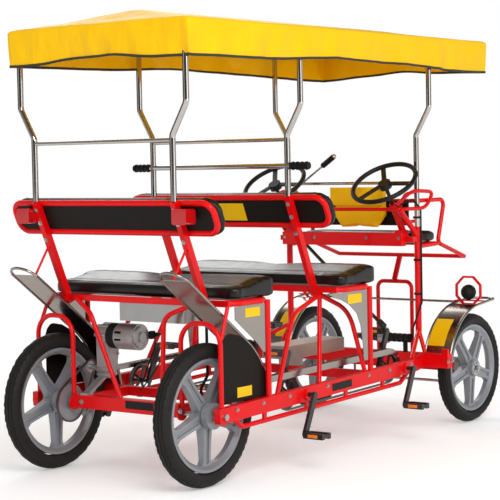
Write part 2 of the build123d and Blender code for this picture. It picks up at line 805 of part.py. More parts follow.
def rear_fender(side):
    """Rear fender: a thin bent sheet between two edge tubes that meet round the high tip."""
    inner = fender_radius - fender_sheet / 2
    outer = fender_radius + fender_sheet / 2
    face_lines = []
    for radius in (inner, outer):
        face_lines.append(fender_path(radius, 0))
    tips = [lines[1] @ 1 for lines in face_lines]
    starts = [lines[0] @ 0 for lines in face_lines]
    edges = face_lines[0] + face_lines[1] + [Line(tips[0], tips[1]), Line(starts[0], starts[1])]
    section = make_face(Wire(edges))
    width = fender_outer_y - fender_inner_y
    band = extrude(section, amount=width / 2, dir=(0, 1, 0), both=True)
    middle = (fender_outer_y + fender_inner_y) / 2
    band = Pos(0, side * middle, 0) * band
    half = width / 2
    tip_x, tip_z = fender_tip(fender_radius)
    path_in = fender_path(fender_radius, side * fender_inner_y)
    path_out = fender_path(fender_radius, side * fender_outer_y)
    turn = math.radians(fender_turn_deg)
    along = at(-math.sin(turn), 0, math.cos(turn))
    crown = at(tip_x, side * middle, tip_z) + along * (half * 0.8)
    tip_arc = ThreePointArc(path_in[1] @ 1, crown, path_out[1] @ 1)
    tubes = []
    for path in (path_in, path_out):
        plane = Plane(origin=path[0] @ 0, z_dir=path[0] % 0)
        tubes.append(sweep(plane * Circle(fender_edge_tube / 2), path=Wire(path)))
    plane = Plane(origin=tip_arc @ 0, z_dir=tip_arc % 0)
    tubes.append(sweep(plane * Circle(fender_edge_tube / 2), path=tip_arc))
    ends = [Pos(*(path[1] @ 1)) * Sphere(fender_edge_tube / 2 + 1) for path in (path_in, path_out)]
    return fuse([band] + tubes + ends)


def guard_plate(side):
    """Black quarter-round plate between the rear wheel's hoop and the fender."""
    clear = fender_radius - fender_edge_tube / 2 - seat_gap
    low = rail_top(clear) + seat_gap
    points = [(28, low), (clear * math.cos(math.radians(8)), low)]
    steps = 7
    for index in range(steps):
        angle = math.radians(8 + (fender_turn_deg + 14 - 8) * index / (steps - 1))
        points.append((clear * math.cos(angle), rear_tyre_radius + clear * math.sin(angle)))
    points = [point for point in points if point[1] >= low]
    corner = rear_tyre_radius + clear * math.sin(math.radians(fender_turn_deg + 20))
    for along, down in ((0.9, 0.02), (0.55, 0.1), (0.2, 0.42), (0, 0.9)):
        points.append((28 + along * guard_corner, corner - down * guard_corner))
    return sheet_xz(points, side * (fender_outer_y + 6.8), guard_thickness)


def front_fender(side):
    """Front fender: a bent sheet over the tyre whose edge tubes run on forward and join."""
    radius = front_fender_radius
    low = math.radians(front_fender_low_deg)
    top = math.radians(front_fender_top_deg)
    middle_angle = (low + top) / 2
    width = front_fender_outer_y - front_fender_inner_y
    middle = (front_fender_outer_y + front_fender_inner_y) / 2

    def on_arc(r, angle, y=0.0):
        return at(wheelbase + r * math.cos(angle), y, front_tyre_radius + r * math.sin(angle))

    arcs = []
    for r in (radius - fender_sheet / 2, radius + fender_sheet / 2):
        arcs.append(ThreePointArc(on_arc(r, low), on_arc(r, middle_angle), on_arc(r, top)))
    section = make_face(Wire([arcs[0], arcs[1], Line(arcs[0] @ 0, arcs[1] @ 0), Line(arcs[0] @ 1, arcs[1] @ 1)]))
    band = Pos(0, side * middle, 0) * extrude(section, amount=width / 2, dir=(0, 1, 0), both=True)
    pieces = [band]
    ends = []
    for y in (side * front_fender_inner_y, side * front_fender_outer_y):
        arc = ThreePointArc(on_arc(radius, low, y), on_arc(radius, middle_angle, y), on_arc(radius, top, y))
        end = arc @ 1
        run = Line(end, end + (arc % 1) * (front_fender_tip_x - end.X - width / 2))
        plane = Plane(origin=arc @ 0, z_dir=arc % 0)
        pieces.append(sweep(plane * Circle(fender_edge_tube / 2), path=Wire([arc, run])))
        pieces.append(Pos(*(run @ 1)) * Sphere(fender_edge_tube / 2 + 1))
        ends.append(run @ 1)
    crown = (ends[0] + ends[1]) / 2 + at(width / 2, 0, 0)
    cap = ThreePointArc(ends[0], crown, ends[1])
    plane = Plane(origin=cap @ 0, z_dir=cap % 0)
    pieces.append(sweep(plane * Circle(fender_edge_tube / 2), path=cap))
    return fuse(pieces)


def front_fenders():
    """Both front fenders and the tube that ties them."""
    z = front_tyre_radius + front_fender_radius
    x = support_x - light_tube / 2 - fender_edge_tube / 2 - seat_gap
    tie = cylinder_between((x, -front_fender_inner_y, z), (x, front_fender_inner_y, z), fender_edge_tube / 2)
    return fuse([front_fender(1), front_fender(-1), tie])


# Posts and canopy

def post_line(x, top_z, foot):
    """Right-hand post from its foot to the canopy tube, kinked outward."""
    return [foot, at(x, post_lower_y, post_kink_low), at(x, post_upper_y, post_kink_high), at(x, post_upper_y, top_z)]


def canopy_posts():
    """Three pairs of chrome posts with their cross bars."""
    top = canopy_eave_z - canopy_wall - canopy_tube - seat_gap + canopy_tube_rise
    groups = []
    for x_shift in (0, seat_pitch):
        foot_x, foot_z = upright_point(1.0, x_shift)
        pieces = []
        for side in (1, -1):
            foot = at(foot_x, post_lower_y, foot_z + seat_gap)
            points = [at(p.X, side * p.Y, p.Z) for p in post_line(foot_x, top, foot)]
            pieces.append(rod(points, post_diameter, bend=40))
        pieces.append(cylinder_between((foot_x, -post_lower_y, crossbar_z), (foot_x, post_lower_y, crossbar_z), 8))
        if x_shift > 0:
            reach = post_lower_y + grip_bar_reach
            pieces.append(cylinder_between((foot_x, -reach, grip_bar_z), (foot_x, reach, grip_bar_z), 11))
        groups.append(fuse(pieces))
    x = post_front_x
    pieces = []
    for side in (1, -1):
        foot = at(x, post_lower_y, post_front_foot_z)
        points = [at(p.X, side * p.Y, p.Z) for p in post_line(x, top, foot)]
        pieces.append(rod(points, post_diameter, bend=40))
    pieces.append(cylinder_between((x, -post_lower_y, front_crossbar_z), (x, post_lower_y, front_crossbar_z), 8))
    groups.append(fuse(pieces))
    return loose(groups)


def hand_grips():
    """Ribbed rubber grips on the ends of the lower hand bar."""
    grips = []
    x = upright_point(1.0, seat_pitch)[0]
    start = post_lower_y + post_diameter / 2 + 6
    length = grip_bar_reach - post_diameter / 2 - 4
    for side in (1, -1):
        sleeve = Rot(90, 0, 0) * Cylinder(grip_diameter / 2, length)
        whole = Pos(x, side * (start + length / 2), grip_bar_z) * sleeve
        for index in range(4):
            y = start + length * (index + 0.5) / 4
            whole = whole + Pos(x, side * y, grip_bar_z) * (Rot(90, 0, 0) * Cylinder(grip_diameter / 2 + 3, 6))
        hole = cylinder_between((x, side * (start - 5), grip_bar_z),
                                (x, side * (post_lower_y + grip_bar_reach + seat_gap), grip_bar_z), 11 + seat_gap)
        grips.append(whole - hole)
    return loose(grips)


def canopy_frame():
    """Tubes under the fabric: eaves ring, cross bows over the posts and a ridge."""
    z = canopy_eave_z - canopy_wall - canopy_tube / 2 + canopy_tube_rise
    half = post_upper_y
    rear = canopy_rear_x + 30
    front = canopy_front_x - 30
    corners = [at(rear, -half, z), at(front, -half, z), at(front, half, z), at(rear, half, z)]
    pieces = [rod(corners, canopy_tube, bend=30, closed=True)]
    ridge_z = canopy_ridge_z - canopy_wall - canopy_tube * 0.4 + 1.2
    xs = [post_rear_x + canopy_hip, seat_pitch - 116, post_front_x]
    for x in xs:
        pieces.append(rod([at(x, -half, z), at(x, 0, ridge_z), at(x, half, z)], canopy_tube * 0.8, bend=200))
    pieces.append(cylinder_between((xs[0], 0, ridge_z - 4), (xs[-1], 0, ridge_z - 4), canopy_tube * 0.35))
    return fuse(pieces)


def roof_shape(inset, low_z):
    """Hipped roof body above a straight valance, drawn in by inset on every side."""
    length = canopy_front_x - canopy_rear_x - 2 * inset
    width = 2 * (canopy_half - inset)
    centre_x = (canopy_front_x + canopy_rear_x) / 2
    eave = canopy_eave_z - inset
    base = Pos(centre_x, 0, low_z) * extrude(Rectangle(length, width), amount=eave - low_z)
    lower = Pos(centre_x, 0, eave) * Rectangle(length, width)
    upper = Pos(centre_x, 0, canopy_ridge_z - inset) * Rectangle(length - 2 * canopy_hip, 90)
    return base + loft([lower, upper], ruled=True)


def canopy():
    """Fabric canopy as one thin shell, open below."""
    return roof_shape(0, canopy_hem_z) - roof_shape(canopy_wall, canopy_hem_z - 10)


# Front bench

def front_upright(side):
    """Upright on two splayed feet that carries the bench beam and the front post."""
    x = post_front_x
    y = side * post_lower_y
    split_z = 470
    foot_x = rail_bend_x + 20
    foot_y = rail_point(foot_x)[0]
    pieces = [cylinder_between((x, y, split_z - 10), (x, y, post_front_foot_z - seat_gap), 15)]
    pieces.append(cylinder_between((x, y, split_z), (foot_x, side * foot_y, rail_top(foot_x) - 3), light_tube / 2))
    pieces.append(cylinder_between((x, y, split_z), (rail_front_x + front_beam_depth / 2 + 8, side * 420,
                                   front_beam_z + front_beam_height / 2 - 3), light_tube / 2))
    return fuse(pieces)


def column_struts(side):
    """Bent strut and straight strut that tie the steering column to the front upright."""
    x = post_front_x
    y = side * post_lower_y
    knee = at(x - 52, side * (steer_wheel_y + 23), arm_rail_z + 32)
    high = rod([at(x, y, arm_rail_z + 45), knee, column_point(185, side)], light_tube * 0.8, bend=30)
    low = cylinder_between((x, y, arm_rail_z - 93), tuple(column_point(235, side)), light_tube * 0.4)
    return [high, low]


def bench_frame():
    """Front uprights, bench beam, seat tubes, side arms and foot bar in front of the riders."""
    beam_x = bench_beam_x
    pieces = [block((beam_x - bench_beam_depth / 2, -bench_beam_half, bench_beam_z - bench_beam_height / 2),
                    (beam_x + bench_beam_depth / 2, bench_beam_half, bench_beam_z + bench_beam_height / 2))]
    x = post_front_x
    for side in (1, -1):
        pieces.append(front_upright(side))
        y = side * post_lower_y
        low, high = sorted((side * (bench_beam_half - 25), side * (post_lower_y + 12)))
        pieces.append(block((beam_x + bench_beam_depth / 2 - 3, low, bench_beam_z - 12),
                            (x, high, bench_beam_z + 12)))
        arm = [at(x - 6, y, arm_rail_z), at(arm_rail_x, y, arm_rail_z), at(bench_front_x, y, bench_tube_z + 10),
               at(foot_bar_x, y, foot_bar_z)]
        pieces.append(rod(arm, light_tube, bend=28))
        pieces.append(cylinder_between((x, y, bench_tube_z), (bench_front_x, y, bench_tube_z + 6), light_tube / 2))
    pieces.append(cylinder_between((x, -post_lower_y, arm_rail_z), (x, post_lower_y, arm_rail_z), light_tube / 2))
    pieces.append(cylinder_between((bench_front_x, -post_lower_y, bench_tube_z + 6),
                                   (bench_front_x, post_lower_y, bench_tube_z + 6), light_tube / 2))
    pieces.append(cylinder_between((foot_bar_x, -post_lower_y, foot_bar_z), (foot_bar_x, post_lower_y, foot_bar_z),
                                   light_tube / 2))
    pieces.append(bar((foot_bar_x, 0, foot_bar_z), (support_x, 0, support_top_z + light_tube / 2 + seat_gap), 26, 10))
    for side in (1, -1):
        pieces.append(steering_column(side))
        pieces.extend(column_struts(side))
    whole = fuse(pieces)
    for side in (1, -1):
        whole = whole - column_bore(side)
    return whole


def column_point(distance, side):
    """Point on the steering axis, measured down from the wheel's hub."""
    tilt = math.radians(steer_tilt_deg)
    return at(steer_hub_x + distance * math.sin(tilt), side * steer_wheel_y, steer_hub_z - distance * math.cos(tilt))


def column_bore(side):
    """Room for the steering shaft in the column and in what is welded to it."""
    return cylinder_between(tuple(column_point(100, side)), tuple(column_point(290, side)),
                            steer_shaft_radius + axle_running_gap)


def steering_column(side):
    """Column tube that holds the steering shaft on the bench beam."""
    top = column_point(120, side)
    low = column_point(300, side)
    tube = cylinder_between(tuple(top), tuple(low), steer_column_radius)
    y = side * steer_wheel_y
    bracket = block((bench_beam_x, y - 22, bench_beam_z - 10),
                    (low.X, y + 22, bench_beam_z + bench_beam_height / 2 + 12))
    return fuse([tube, bracket])


def steering_wheel(side):
    """Steering wheel with three spokes, hub and shaft."""
    tilt = math.radians(steer_tilt_deg)
    hub = column_point(0, side)
    ring = Torus(steer_rim_radius, steer_rim_tube / 2)
    pieces = [ring, Pos(0, 0, -12) * Cylinder(30, 30)]
    for index in range(3):
        angle = 60 + 120 * index
        spoke_bar = Pos(steer_rim_radius / 2, 0, -4) * Box(steer_rim_radius, 22, 9)
        pieces.append(Rot(0, 0, angle) * spoke_bar)
    wheel = fuse(pieces)
    plane = Plane(origin=hub, z_dir=at(-math.sin(tilt), 0, math.cos(tilt)), x_dir=(0, 1, 0))
    wheel = plane * wheel
    shaft = cylinder_between(tuple(hub), tuple(column_point(285, side)), steer_shaft_radius)
    return fuse([wheel, shaft])


def bench_cushion():
    """Flat padded seat on the bench tubes."""
    low = bench_tube_z + 6 + light_tube / 2 + seat_gap
    x0 = post_front_x + 22
    x1 = bench_front_x + 62
    half = bench_half - 34
    outline = FilletPolyline((x0, -half), (x1, -half), (x1, half), (x0, half), radius=35, close=True)
    return Pos(0, 0, low) * extrude(make_face(outline), amount=bench_cushion_thickness)


def bench_back():
    """Black board of the front bench's backrest."""
    x = post_front_x - light_tube / 2 - seat_gap
    top = arm_rail_z + 2
    return block((x - bench_back_thickness, -bench_back_half, top - bench_back_height), (x, bench_back_half, top))


def pouch():
    """Cloth pouch that hangs over the bench's top tube."""
    x = post_front_x - light_tube / 2 - 2 * seat_gap - bench_back_thickness - pouch_thickness / 2
    points = [(pouch_y[0], pouch_z[1]), (pouch_y[1], pouch_z[1]), (pouch_y[1], pouch_z[0] + 60),
              (pouch_y[1] - 45, pouch_z[0]), (pouch_y[0] + 45, pouch_z[0]), (pouch_y[0], pouch_z[0] + 60)]
    face = make_face(Polyline(*points, close=True))
    plane = Plane(origin=(x - pouch_thickness / 2, 0, 0), x_dir=(0, 1, 0), z_dir=(1, 0, 0))
    return plane * extrude(face, amount=pouch_thickness)


# Cranks and drive

def crankset(side, x):
    """Spindle, two opposite arms, chainring and two block pedals."""
    y_rail, z = rail_point(x)
    lean = math.radians(crank_lean_deg)
    down = (-math.sin(lean) * crank_length, -math.cos(lean) * crank_length)
    pieces = [cylinder_between((x, side * (crank_inner_y - 4), z), (x, side * (crank_outer_y + 4), z),
                               crank_spindle_radius)]
    ring = Rot(90, 0, 0) * Cylinder(chainring_radius, 5)
    ring = ring - Rot(90, 0, 0) * Cylinder(chainring_radius - 14, 9)
    for index in range(5):
        arm = Pos(chainring_radius / 2, 0, 0) * Box(chainring_radius - 6, 5, 12)
        ring = ring + Rot(0, 72 * index, 0) * arm
    pieces.append(Pos(x, side * chainring_y, z) * ring)
    for y, direction, away in ((crank_outer_y, 1, 1), (crank_inner_y, -1, -1)):
        end = (x + direction * down[0], z + direction * down[1])
        arm = bar((x, side * y, z), (end[0], side * y, end[1]), crank_arm_thickness, crank_arm_width)
        pieces.append(arm)
        boss = Rot(90, 0, 0) * Cylinder(crank_arm_width / 2, crank_arm_thickness)
        for boss_x, boss_z in ((x, z), end):
            pieces.append(Pos(boss_x, side * y, boss_z) * boss)
        start = y + away * 10
        stop = y + away * (12 + pedal_length)
        pieces.append(cylinder_between((end[0], side * y, end[1]), (end[0], side * stop, end[1]), 6))
        spread = sorted((side * start, side * stop))
        for offset in (-1, 1):
            centre = end[0] + offset * (pedal_width / 2 - 9)
            pieces.append(block((centre - 9, spread[0], end[1] - pedal_height / 2),
                                (centre + 9, spread[1], end[1] + pedal_height / 2)))
        for y_end in (spread[0] + 5, spread[1] - 5):
            pieces.append(block((end[0] - pedal_width / 2 + 4, y_end - 4, end[1] - 8),
                                (end[0] + pedal_width / 2 - 4, y_end + 4, end[1] + 8)))
    return fuse(pieces)


def chain_guard(side):
    """Channel over the chain between the two cranks, round at the front, on straps from the members."""
    half = 17
    radius = chainring_radius + 16
    rear_x = middle_member_x + 34
    low_z = rail_point(crank_rear_x)[1]
    high_z = rail_point(crank_front_x)[1]
    lines = []
    for r in (radius, radius - 2.5, radius - 27):
        turn = math.radians(40)
        start = at(rear_x, 0, low_z + r)
        top = at(crank_front_x, 0, high_z + r)
        crown = at(crank_front_x + r * math.cos(turn), 0, high_z + r * math.sin(turn))
        lines.append([Line(start, top), ThreePointArc(top, crown, at(crank_front_x + r, 0, high_z))])
    pieces = []
    for inner_lines, middle, reach in ((lines[1], 0, half), (lines[2], side * (half - 1.5), 1.5)):
        closing = [Line(lines[0][0] @ 0, inner_lines[0] @ 0), Line(lines[0][1] @ 1, inner_lines[1] @ 1)]
        face = make_face(Wire(lines[0] + inner_lines + closing))
        band = extrude(face, amount=reach, dir=(0, 1, 0), both=True)
        pieces.append(Pos(0, side * chainring_y + middle, 0) * band)
    low, high = sorted((side * (chainring_y - half), side * (chainring_y - half + 4)))
    strap_x = rear_x + 10
    middle_z = rail_point(middle_member_x)[1]
    pieces.append(block((middle_member_x + member_depth / 2 + seat_gap, low, middle_z - 12),
                        (strap_x + 6, high, middle_z + 6)))
    for x in (strap_x, floor_member_x):
        foot = middle_z - 12 if x == strap_x else rail_point(x)[1] + member_height / 2 + seat_gap
        top = low_z + radius + (high_z - low_z) * (x - rear_x) / (crank_front_x - rear_x) - 1.2
        pieces.append(block((x - 6, low, foot), (x + 6, high, top)))
    return fuse(pieces)


def box_block(size, place, corner):
    """Box with rounded upright edges, standing on its place."""
    face = RectangleRounded(size[0], size[1], corner)
    return Pos(*place) * extrude(face, amount=size[2])


def gear_case():
    """Cast case: rounded walls round the motor's and the output shaft's axes, in three steps."""
    layers = ((case_span[1] - 12, case_span[0], 0), (case_span[1], case_span[1] - 14, 9),
              (case_span[0] + 1, case_span[0] - 8, 14))
    pieces = []
    for high, low, shrink in layers:
        rounds = [Pos(motor_x, motor_z) * Circle(case_top_radius - shrink),
                  Pos(*motor_shaft) * Circle(case_low_radius - shrink)]
        outline = make_hull(rounds[0].edges() + rounds[1].edges())
        plane = Plane(origin=(0, high, 0), x_dir=(1, 0, 0), z_dir=(0, -1, 0))
        pieces.append(plane * extrude(outline, amount=high - low))
    return pieces


def drive_motor():
    """Motor can with its band and end cap, the cast gear case beside it and the output shaft."""
    can = cylinder_between((motor_x, motor_span[0], motor_z), (motor_x, band_span[0] + 1, motor_z), motor_radius)
    band = cylinder_between((motor_x, band_span[0], motor_z), (motor_x, band_span[1] + 2, motor_z), motor_radius - 4)
    cap = cylinder_between((motor_x, motor_span[0] - 9, motor_z), (motor_x, motor_span[0] + 1, motor_z),
                           motor_radius * 0.82)
    boss = cylinder_between((motor_x, motor_span[0] - 15, motor_z), (motor_x, motor_span[0] - 8, motor_z),
                            motor_radius * 0.36)
    shaft_x, shaft_z = motor_shaft
    output = cylinder_between((shaft_x, case_span[1] - 2, shaft_z), (shaft_x, chain_y + 6, shaft_z), 11)
    collar = cylinder_between((shaft_x, case_span[1] - 2, shaft_z), (shaft_x, case_span[1] + 14, shaft_z), 23)
    sprocket = cylinder_between((shaft_x, chain_y - 2, shaft_z), (shaft_x, chain_y + 2, shaft_z), motor_sprocket_radius)
    beam_top = rear_tyre_radius + 10 + rear_beam_height / 2
    y = (case_span[0] + case_span[1]) / 2
    pad = block((-18, y - 20, beam_top + seat_gap), (18, y + 20, beam_top + 9))
    arm = bar((4, y, beam_top + 6), (shaft_x - 6, y, shaft_z - case_low_radius + 14), 36, 12)
    return fuse([can, band, cap, boss, output, collar, sprocket, pad, arm] + gear_case())


def chain_loop(start, end, start_radius, end_radius, y):
    """Chain drawn as one closed band round two sprockets."""
    loops = []
    for grow in (chain_gap + chain_height, chain_gap):
        rounds = [Pos(*start) * Circle(start_radius + grow), Pos(*end) * Circle(end_radius + grow)]
        loops.append(make_hull(rounds[0].edges() + rounds[1].edges()))
    band = extrude(loops[0] - loops[1], amount=chain_width / 2, both=True)
    return Plane(origin=(0, y, 0), x_dir=(1, 0, 0), z_dir=(0, -1, 0)) * band


def drive_chains():
    """Chain between the cranks on each side and the motor's chain to the left rear wheel."""
    rear = (crank_rear_x, rail_point(crank_rear_x)[1])
    front = (crank_front_x, rail_point(crank_front_x)[1])
    chains = [chain_loop(rear, front, chainring_radius, chainring_radius, side * chainring_y) for side in (1, -1)]
    chains.append(chain_loop((0, rear_tyre_radius), motor_shaft, sprocket_radius, motor_sprocket_radius, chain_y))
    return loose(chains)


def step_box():
    """Tread-plate box on a pedestal that stands on the floor member."""
    member_top = rail_point(floor_member_x)[1] + member_height / 2
    x, y, z = step_box_place
    half = step_box_size[1] / 2 - 15
    pedestal = block((floor_member_x - 11, y - half, member_top + seat_gap), (floor_member_x + 11, y + half, z + 2))
    return fuse([box_block(step_box_size, step_box_place, 8), pedestal])


def horn_ball(side):
    """Black ball lamp on the front fender."""
    foot_z = lamp_foot_z + lamp_plate + seat_gap
    x = wheelbase + 5
    ball_z = lamp_foot_z + lamp_ball_radius + 5
    stem = cylinder_between((x, side * front_wheel_y, foot_z), (x, side * front_wheel_y, ball_z - 16), 9)
    return fuse([Pos(x, side * front_wheel_y, ball_z) * Sphere(lamp_ball_radius), stem])


def lamp_ring(side):
    """Octagonal hoop round the lamp, on a foot that stands on the fender."""
    ring = RegularPolygon(lamp_ring_radius, 8, rotation=22.5) - RegularPolygon(lamp_ring_radius - 10, 8, rotation=22.5)
    plane = Plane(origin=(wheelbase - 1, side * front_wheel_y, lamp_foot_z + 50), z_dir=(1, 0, 0), x_dir=(0, 1, 0))
    hoop = plane * extrude(ring, amount=12)
    low, high = sorted((side * (front_fender_inner_y - 4), side * (front_fender_outer_y + 4)))
    plate = block((wheelbase - 13, low, lamp_foot_z), (wheelbase + 23, high, lamp_foot_z + lamp_plate))
    return fuse([hoop, plate])


def tail_lamp(side):
    """Red rear lamp in a rounded square case."""
    x, z = upright_point(0.86, 0)
    low = x - upright_depth / 2 - 26
    y = upright_y + upright_width / 2 + lamp_case[0] / 2 + seat_gap
    plane = Plane(origin=(low - 16, side * y, z), z_dir=(1, 0, 0), x_dir=(0, 1, 0))
    return plane * extrude(RectangleRounded(lamp_case[0], lamp_case[1], 12), amount=lamp_case[2])


def brake_lever():
    """Parking brake lever with a grip, clamped round the left steering column."""
    low, high = lever_clamp
    clamp = cylinder_between(tuple(column_point(low, 1)), tuple(column_point(high, 1)), steer_column_radius + 8)
    hole = cylinder_between(tuple(column_point(low - 5, 1)), tuple(column_point(high + 5, 1)),
                            steer_column_radius + seat_gap)
    centre = column_point((low + high) / 2, 1)
    start = at(centre.X, centre.Y - steer_column_radius - 5, centre.Z)
    knee = at(rail_front_x + lever_knee[0], lever_knee[1], lever_knee[2])
    top = at(rail_front_x + lever_top[0], lever_top[1], lever_top[2])
    along = (top - knee).normalized()
    shank = rod([start, knee, top], 10, bend=30)
    grip = cylinder_between(tuple(top - along * 62), tuple(top + along * 4), 11)
    knob = Pos(*(top + along * 4)) * Sphere(13)
    return fuse([clamp - hole, shank, grip, knob])


def cable_boot():
    """Ribbed rubber boot that stands on the front cross beam on two clips."""
    x = rail_front_x
    low_y, high_y = boot_y
    pieces = [cylinder_between((x, low_y, boot_z), (x, high_y, boot_z), 14)]
    ribs = 8
    for index in range(ribs):
        y = low_y + (high_y - low_y) * (index + 0.5) / ribs
        pieces.append(cylinder_between((x, y - 7, boot_z), (x, y + 7, boot_z), 21))
    beam_top = front_beam_z + front_beam_height / 2
    for y in (low_y + 40, high_y - 40):
        pieces.append(block((x + 1, y - 8, beam_top + seat_gap), (x + 17, y + 8, boot_z)))
    return pieces


def control_cables():
    """Cable down the right front upright to its boot, and the controller's hose, with their clips."""
    x = post_front_x
    y = -post_lower_y - 15 - cable_diameter / 2 - 1.5
    line = [at(x - 100, -steer_wheel_y - 23, 1062), at(x - 52, y + 8, 1085), at(x, y, 1040), at(x, y, 600),
            at(x - 34, y, 555), at(x - 48, boot_y[0] - 7, 480), at(x - 52, boot_y[0] - 5, boot_z - 3),
            at(x - 52, boot_y[0] + 10, boot_z - 3)]
    pieces = [rod(line, cable_diameter, bend=9)]
    for z in (1000, 800, 640):
        sleeve = Pos(x, -post_lower_y, z) * Cylinder(19, 10)
        core = post_diameter / 2 if z > post_front_foot_z else 15
        pieces.append(sleeve - Pos(x, -post_lower_y, z) * Cylinder(core + seat_gap, 20))
    cable = fuse(pieces + cable_boot())
    width = controller_size[1]
    hose_x = controller_place[0] + 15
    end_y = controller_place[1] - width / 2 - seat_gap
    top_z = controller_place[2] + 33
    member_z = rail_rear_z + 28
    hose_line = [at(hose_x, end_y, top_z), at(hose_x, end_y - 35, top_z), at(hose_x, end_y - 35, 420),
                 at(hose_x, -inner_member_y, 365), at(hose_x, -inner_member_y, member_z + 4)]
    hose_end = block((hose_x - 10, -inner_member_y - 10, member_z), (hose_x + 10, -inner_member_y + 10, member_z + 8))
    hose = fuse([rod(hose_line, hose_diameter, bend=18), hose_end])
    return loose([cable, hose])


rails = loose(both_sides(side_rail))
rear_base = trimmed(rear_subframe(), rails)
front_base = front_subframe()
rear_seat = trimmed(rear_seat_frame(), rails, rear_base)
front_seat = trimmed(front_seat_frame(), rails, rear_base)
posts = trimmed(canopy_posts(), rear_seat, front_seat)
bench = trimmed(bench_frame(), rails, front_base, posts)
nodes = {
    "side_rails": rails,
    "rear_subframe": rear_base,
    "rear_axles": loose(both_sides(rear_axle)),
    "front_subframe": front_base,
    "rear_seat_frame": rear_seat,
    "front_seat_frame": front_seat,
    "backrest_boards": backrest_boards(),
    "backrest_pads": backrest_pads(),
    "seat_cushions": loose([seat_cushion(0), seat_cushion(seat_pitch), bench_cushion()]),
    "side_panels": side_panels(),
    "fenders": loose(both_sides(rear_fender) + [front_fenders()]),
    "guard_plates": loose(both_sides(guard_plate)),
    "canopy_posts": posts,
    "hand_grips": hand_grips(),
    "canopy_frame": canopy_frame(),
    "canopy": canopy(),
    "bench_frame": bench,
    "pouch": pouch(),
    "step_box": step_box(),
    "controller_box": box_block(controller_size, controller_place, 6),
    "drive_motor": drive_motor(),
    "drive_chains": drive_chains(),
    "chain_guards": loose(both_sides(chain_guard)),
    "horn_balls": loose(both_sides(horn_ball)),
    "lamp_rings": loose(both_sides(lamp_ring)),
    "tail_lamps": loose(both_sides(tail_lamp)),
    "brake_lever": brake_lever(),
    "control_cables": control_cables(),
    "tie_rod": tie_rod(),
}
for side, name in ((1, "left"), (-1, "right")):
    wheel = cast_wheel(rear_tyre_radius, rear_tyre_width, tyre_profile_rear, side if side < 0 else -1)
    if side > 0:
        wheel = fuse([wheel, drive_sprocket()])
    nodes["rear_wheel_" + name] = Pos(0, side * rear_wheel_y, rear_tyre_radius) * wheel
    carcass = tyre(rear_tyre_radius, rear_tyre_width, tyre_profile_rear)
    nodes["rear_tyre_" + name] = Pos(0, side * rear_wheel_y, rear_tyre_radius) * carcass
    wheel = cast_wheel(front_tyre_radius, front_tyre_width, tyre_profile_front, -side)
    nodes["front_wheel_" + name] = Pos(wheelbase, side * front_wheel_y, front_tyre_radius) * wheel
    carcass = tyre(front_tyre_radius, front_tyre_width, tyre_profile_front)
    nodes["front_tyre_" + name] = Pos(wheelbase, side * front_wheel_y, front_tyre_radius) * carcass
    nodes["knuckle_" + name] = knuckle(side)
    nodes["steering_wheel_" + name] = steering_wheel(side)
    nodes["rear_crank_" + name] = crankset(side, crank_rear_x)
    nodes["front_crank_" + name] = crankset(side, crank_front_x)

os.makedirs("parts", exist_ok=True)
for name, shape in nodes.items():
    moved = Pos(-overall_shift, 0, 0) * shape
    export_step(moved, os.path.join("parts", name + ".step"))
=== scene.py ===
"""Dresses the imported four-seat pedal quadricycle: finishes, soft goods, tyres and small fittings."""

from __future__ import annotations

import json
import logging
import math
from dataclasses import dataclass, field
from enum import Enum
from typing import Any, Iterable, Sequence

import bmesh
import bpy
from mathutils import Matrix, Vector, noise

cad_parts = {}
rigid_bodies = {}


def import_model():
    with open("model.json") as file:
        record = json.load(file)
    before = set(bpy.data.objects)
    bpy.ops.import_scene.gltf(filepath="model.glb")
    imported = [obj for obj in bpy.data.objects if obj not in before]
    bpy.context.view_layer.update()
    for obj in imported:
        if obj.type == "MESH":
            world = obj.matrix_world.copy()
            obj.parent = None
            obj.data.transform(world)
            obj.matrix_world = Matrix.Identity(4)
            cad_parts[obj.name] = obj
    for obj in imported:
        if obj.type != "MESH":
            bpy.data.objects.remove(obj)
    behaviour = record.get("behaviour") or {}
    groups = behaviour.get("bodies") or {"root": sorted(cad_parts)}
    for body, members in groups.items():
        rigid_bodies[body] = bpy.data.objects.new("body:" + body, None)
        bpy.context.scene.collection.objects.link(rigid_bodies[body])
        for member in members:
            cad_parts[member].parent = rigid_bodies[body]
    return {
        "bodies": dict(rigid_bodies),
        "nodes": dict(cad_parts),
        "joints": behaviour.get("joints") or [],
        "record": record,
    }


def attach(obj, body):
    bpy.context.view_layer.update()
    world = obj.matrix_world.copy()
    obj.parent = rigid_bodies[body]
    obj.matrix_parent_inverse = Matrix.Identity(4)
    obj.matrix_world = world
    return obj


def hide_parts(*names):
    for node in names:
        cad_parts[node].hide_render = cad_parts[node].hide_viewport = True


LOG = logging.getLogger("quadricycle")

# The rear axle in the row frame, in metres. The sizes after it are in millimetres.
REAR_AXLE_X = -0.96925
WHEELBASE = 1963.0
REAR_WHEEL_Y = 404.0
REAR_RADIUS = 286.0
FRONT_WHEEL_Y = 462.0
FRONT_RADIUS = 261.5
UPRIGHT_Y = 373.0
# Direction out of the leaning uprights' backs.
LEAN_FORWARD = 0.918
LEAN_DOWN = 0.3955
# Depths of surface relief, in metres.
COARSE_RELIEF = 0.0012
FINE_RELIEF = 0.0004
FOLD_RELIEF = 0.02
COAT_ROUGHNESS = 0.06
WHITE = (1.0, 1.0, 1.0, 1.0)
SIDES: tuple[tuple[str, int], ...] = (("left", 1), ("right", -1))

Point = tuple[float, float, float]
Colour = tuple[float, float, float]


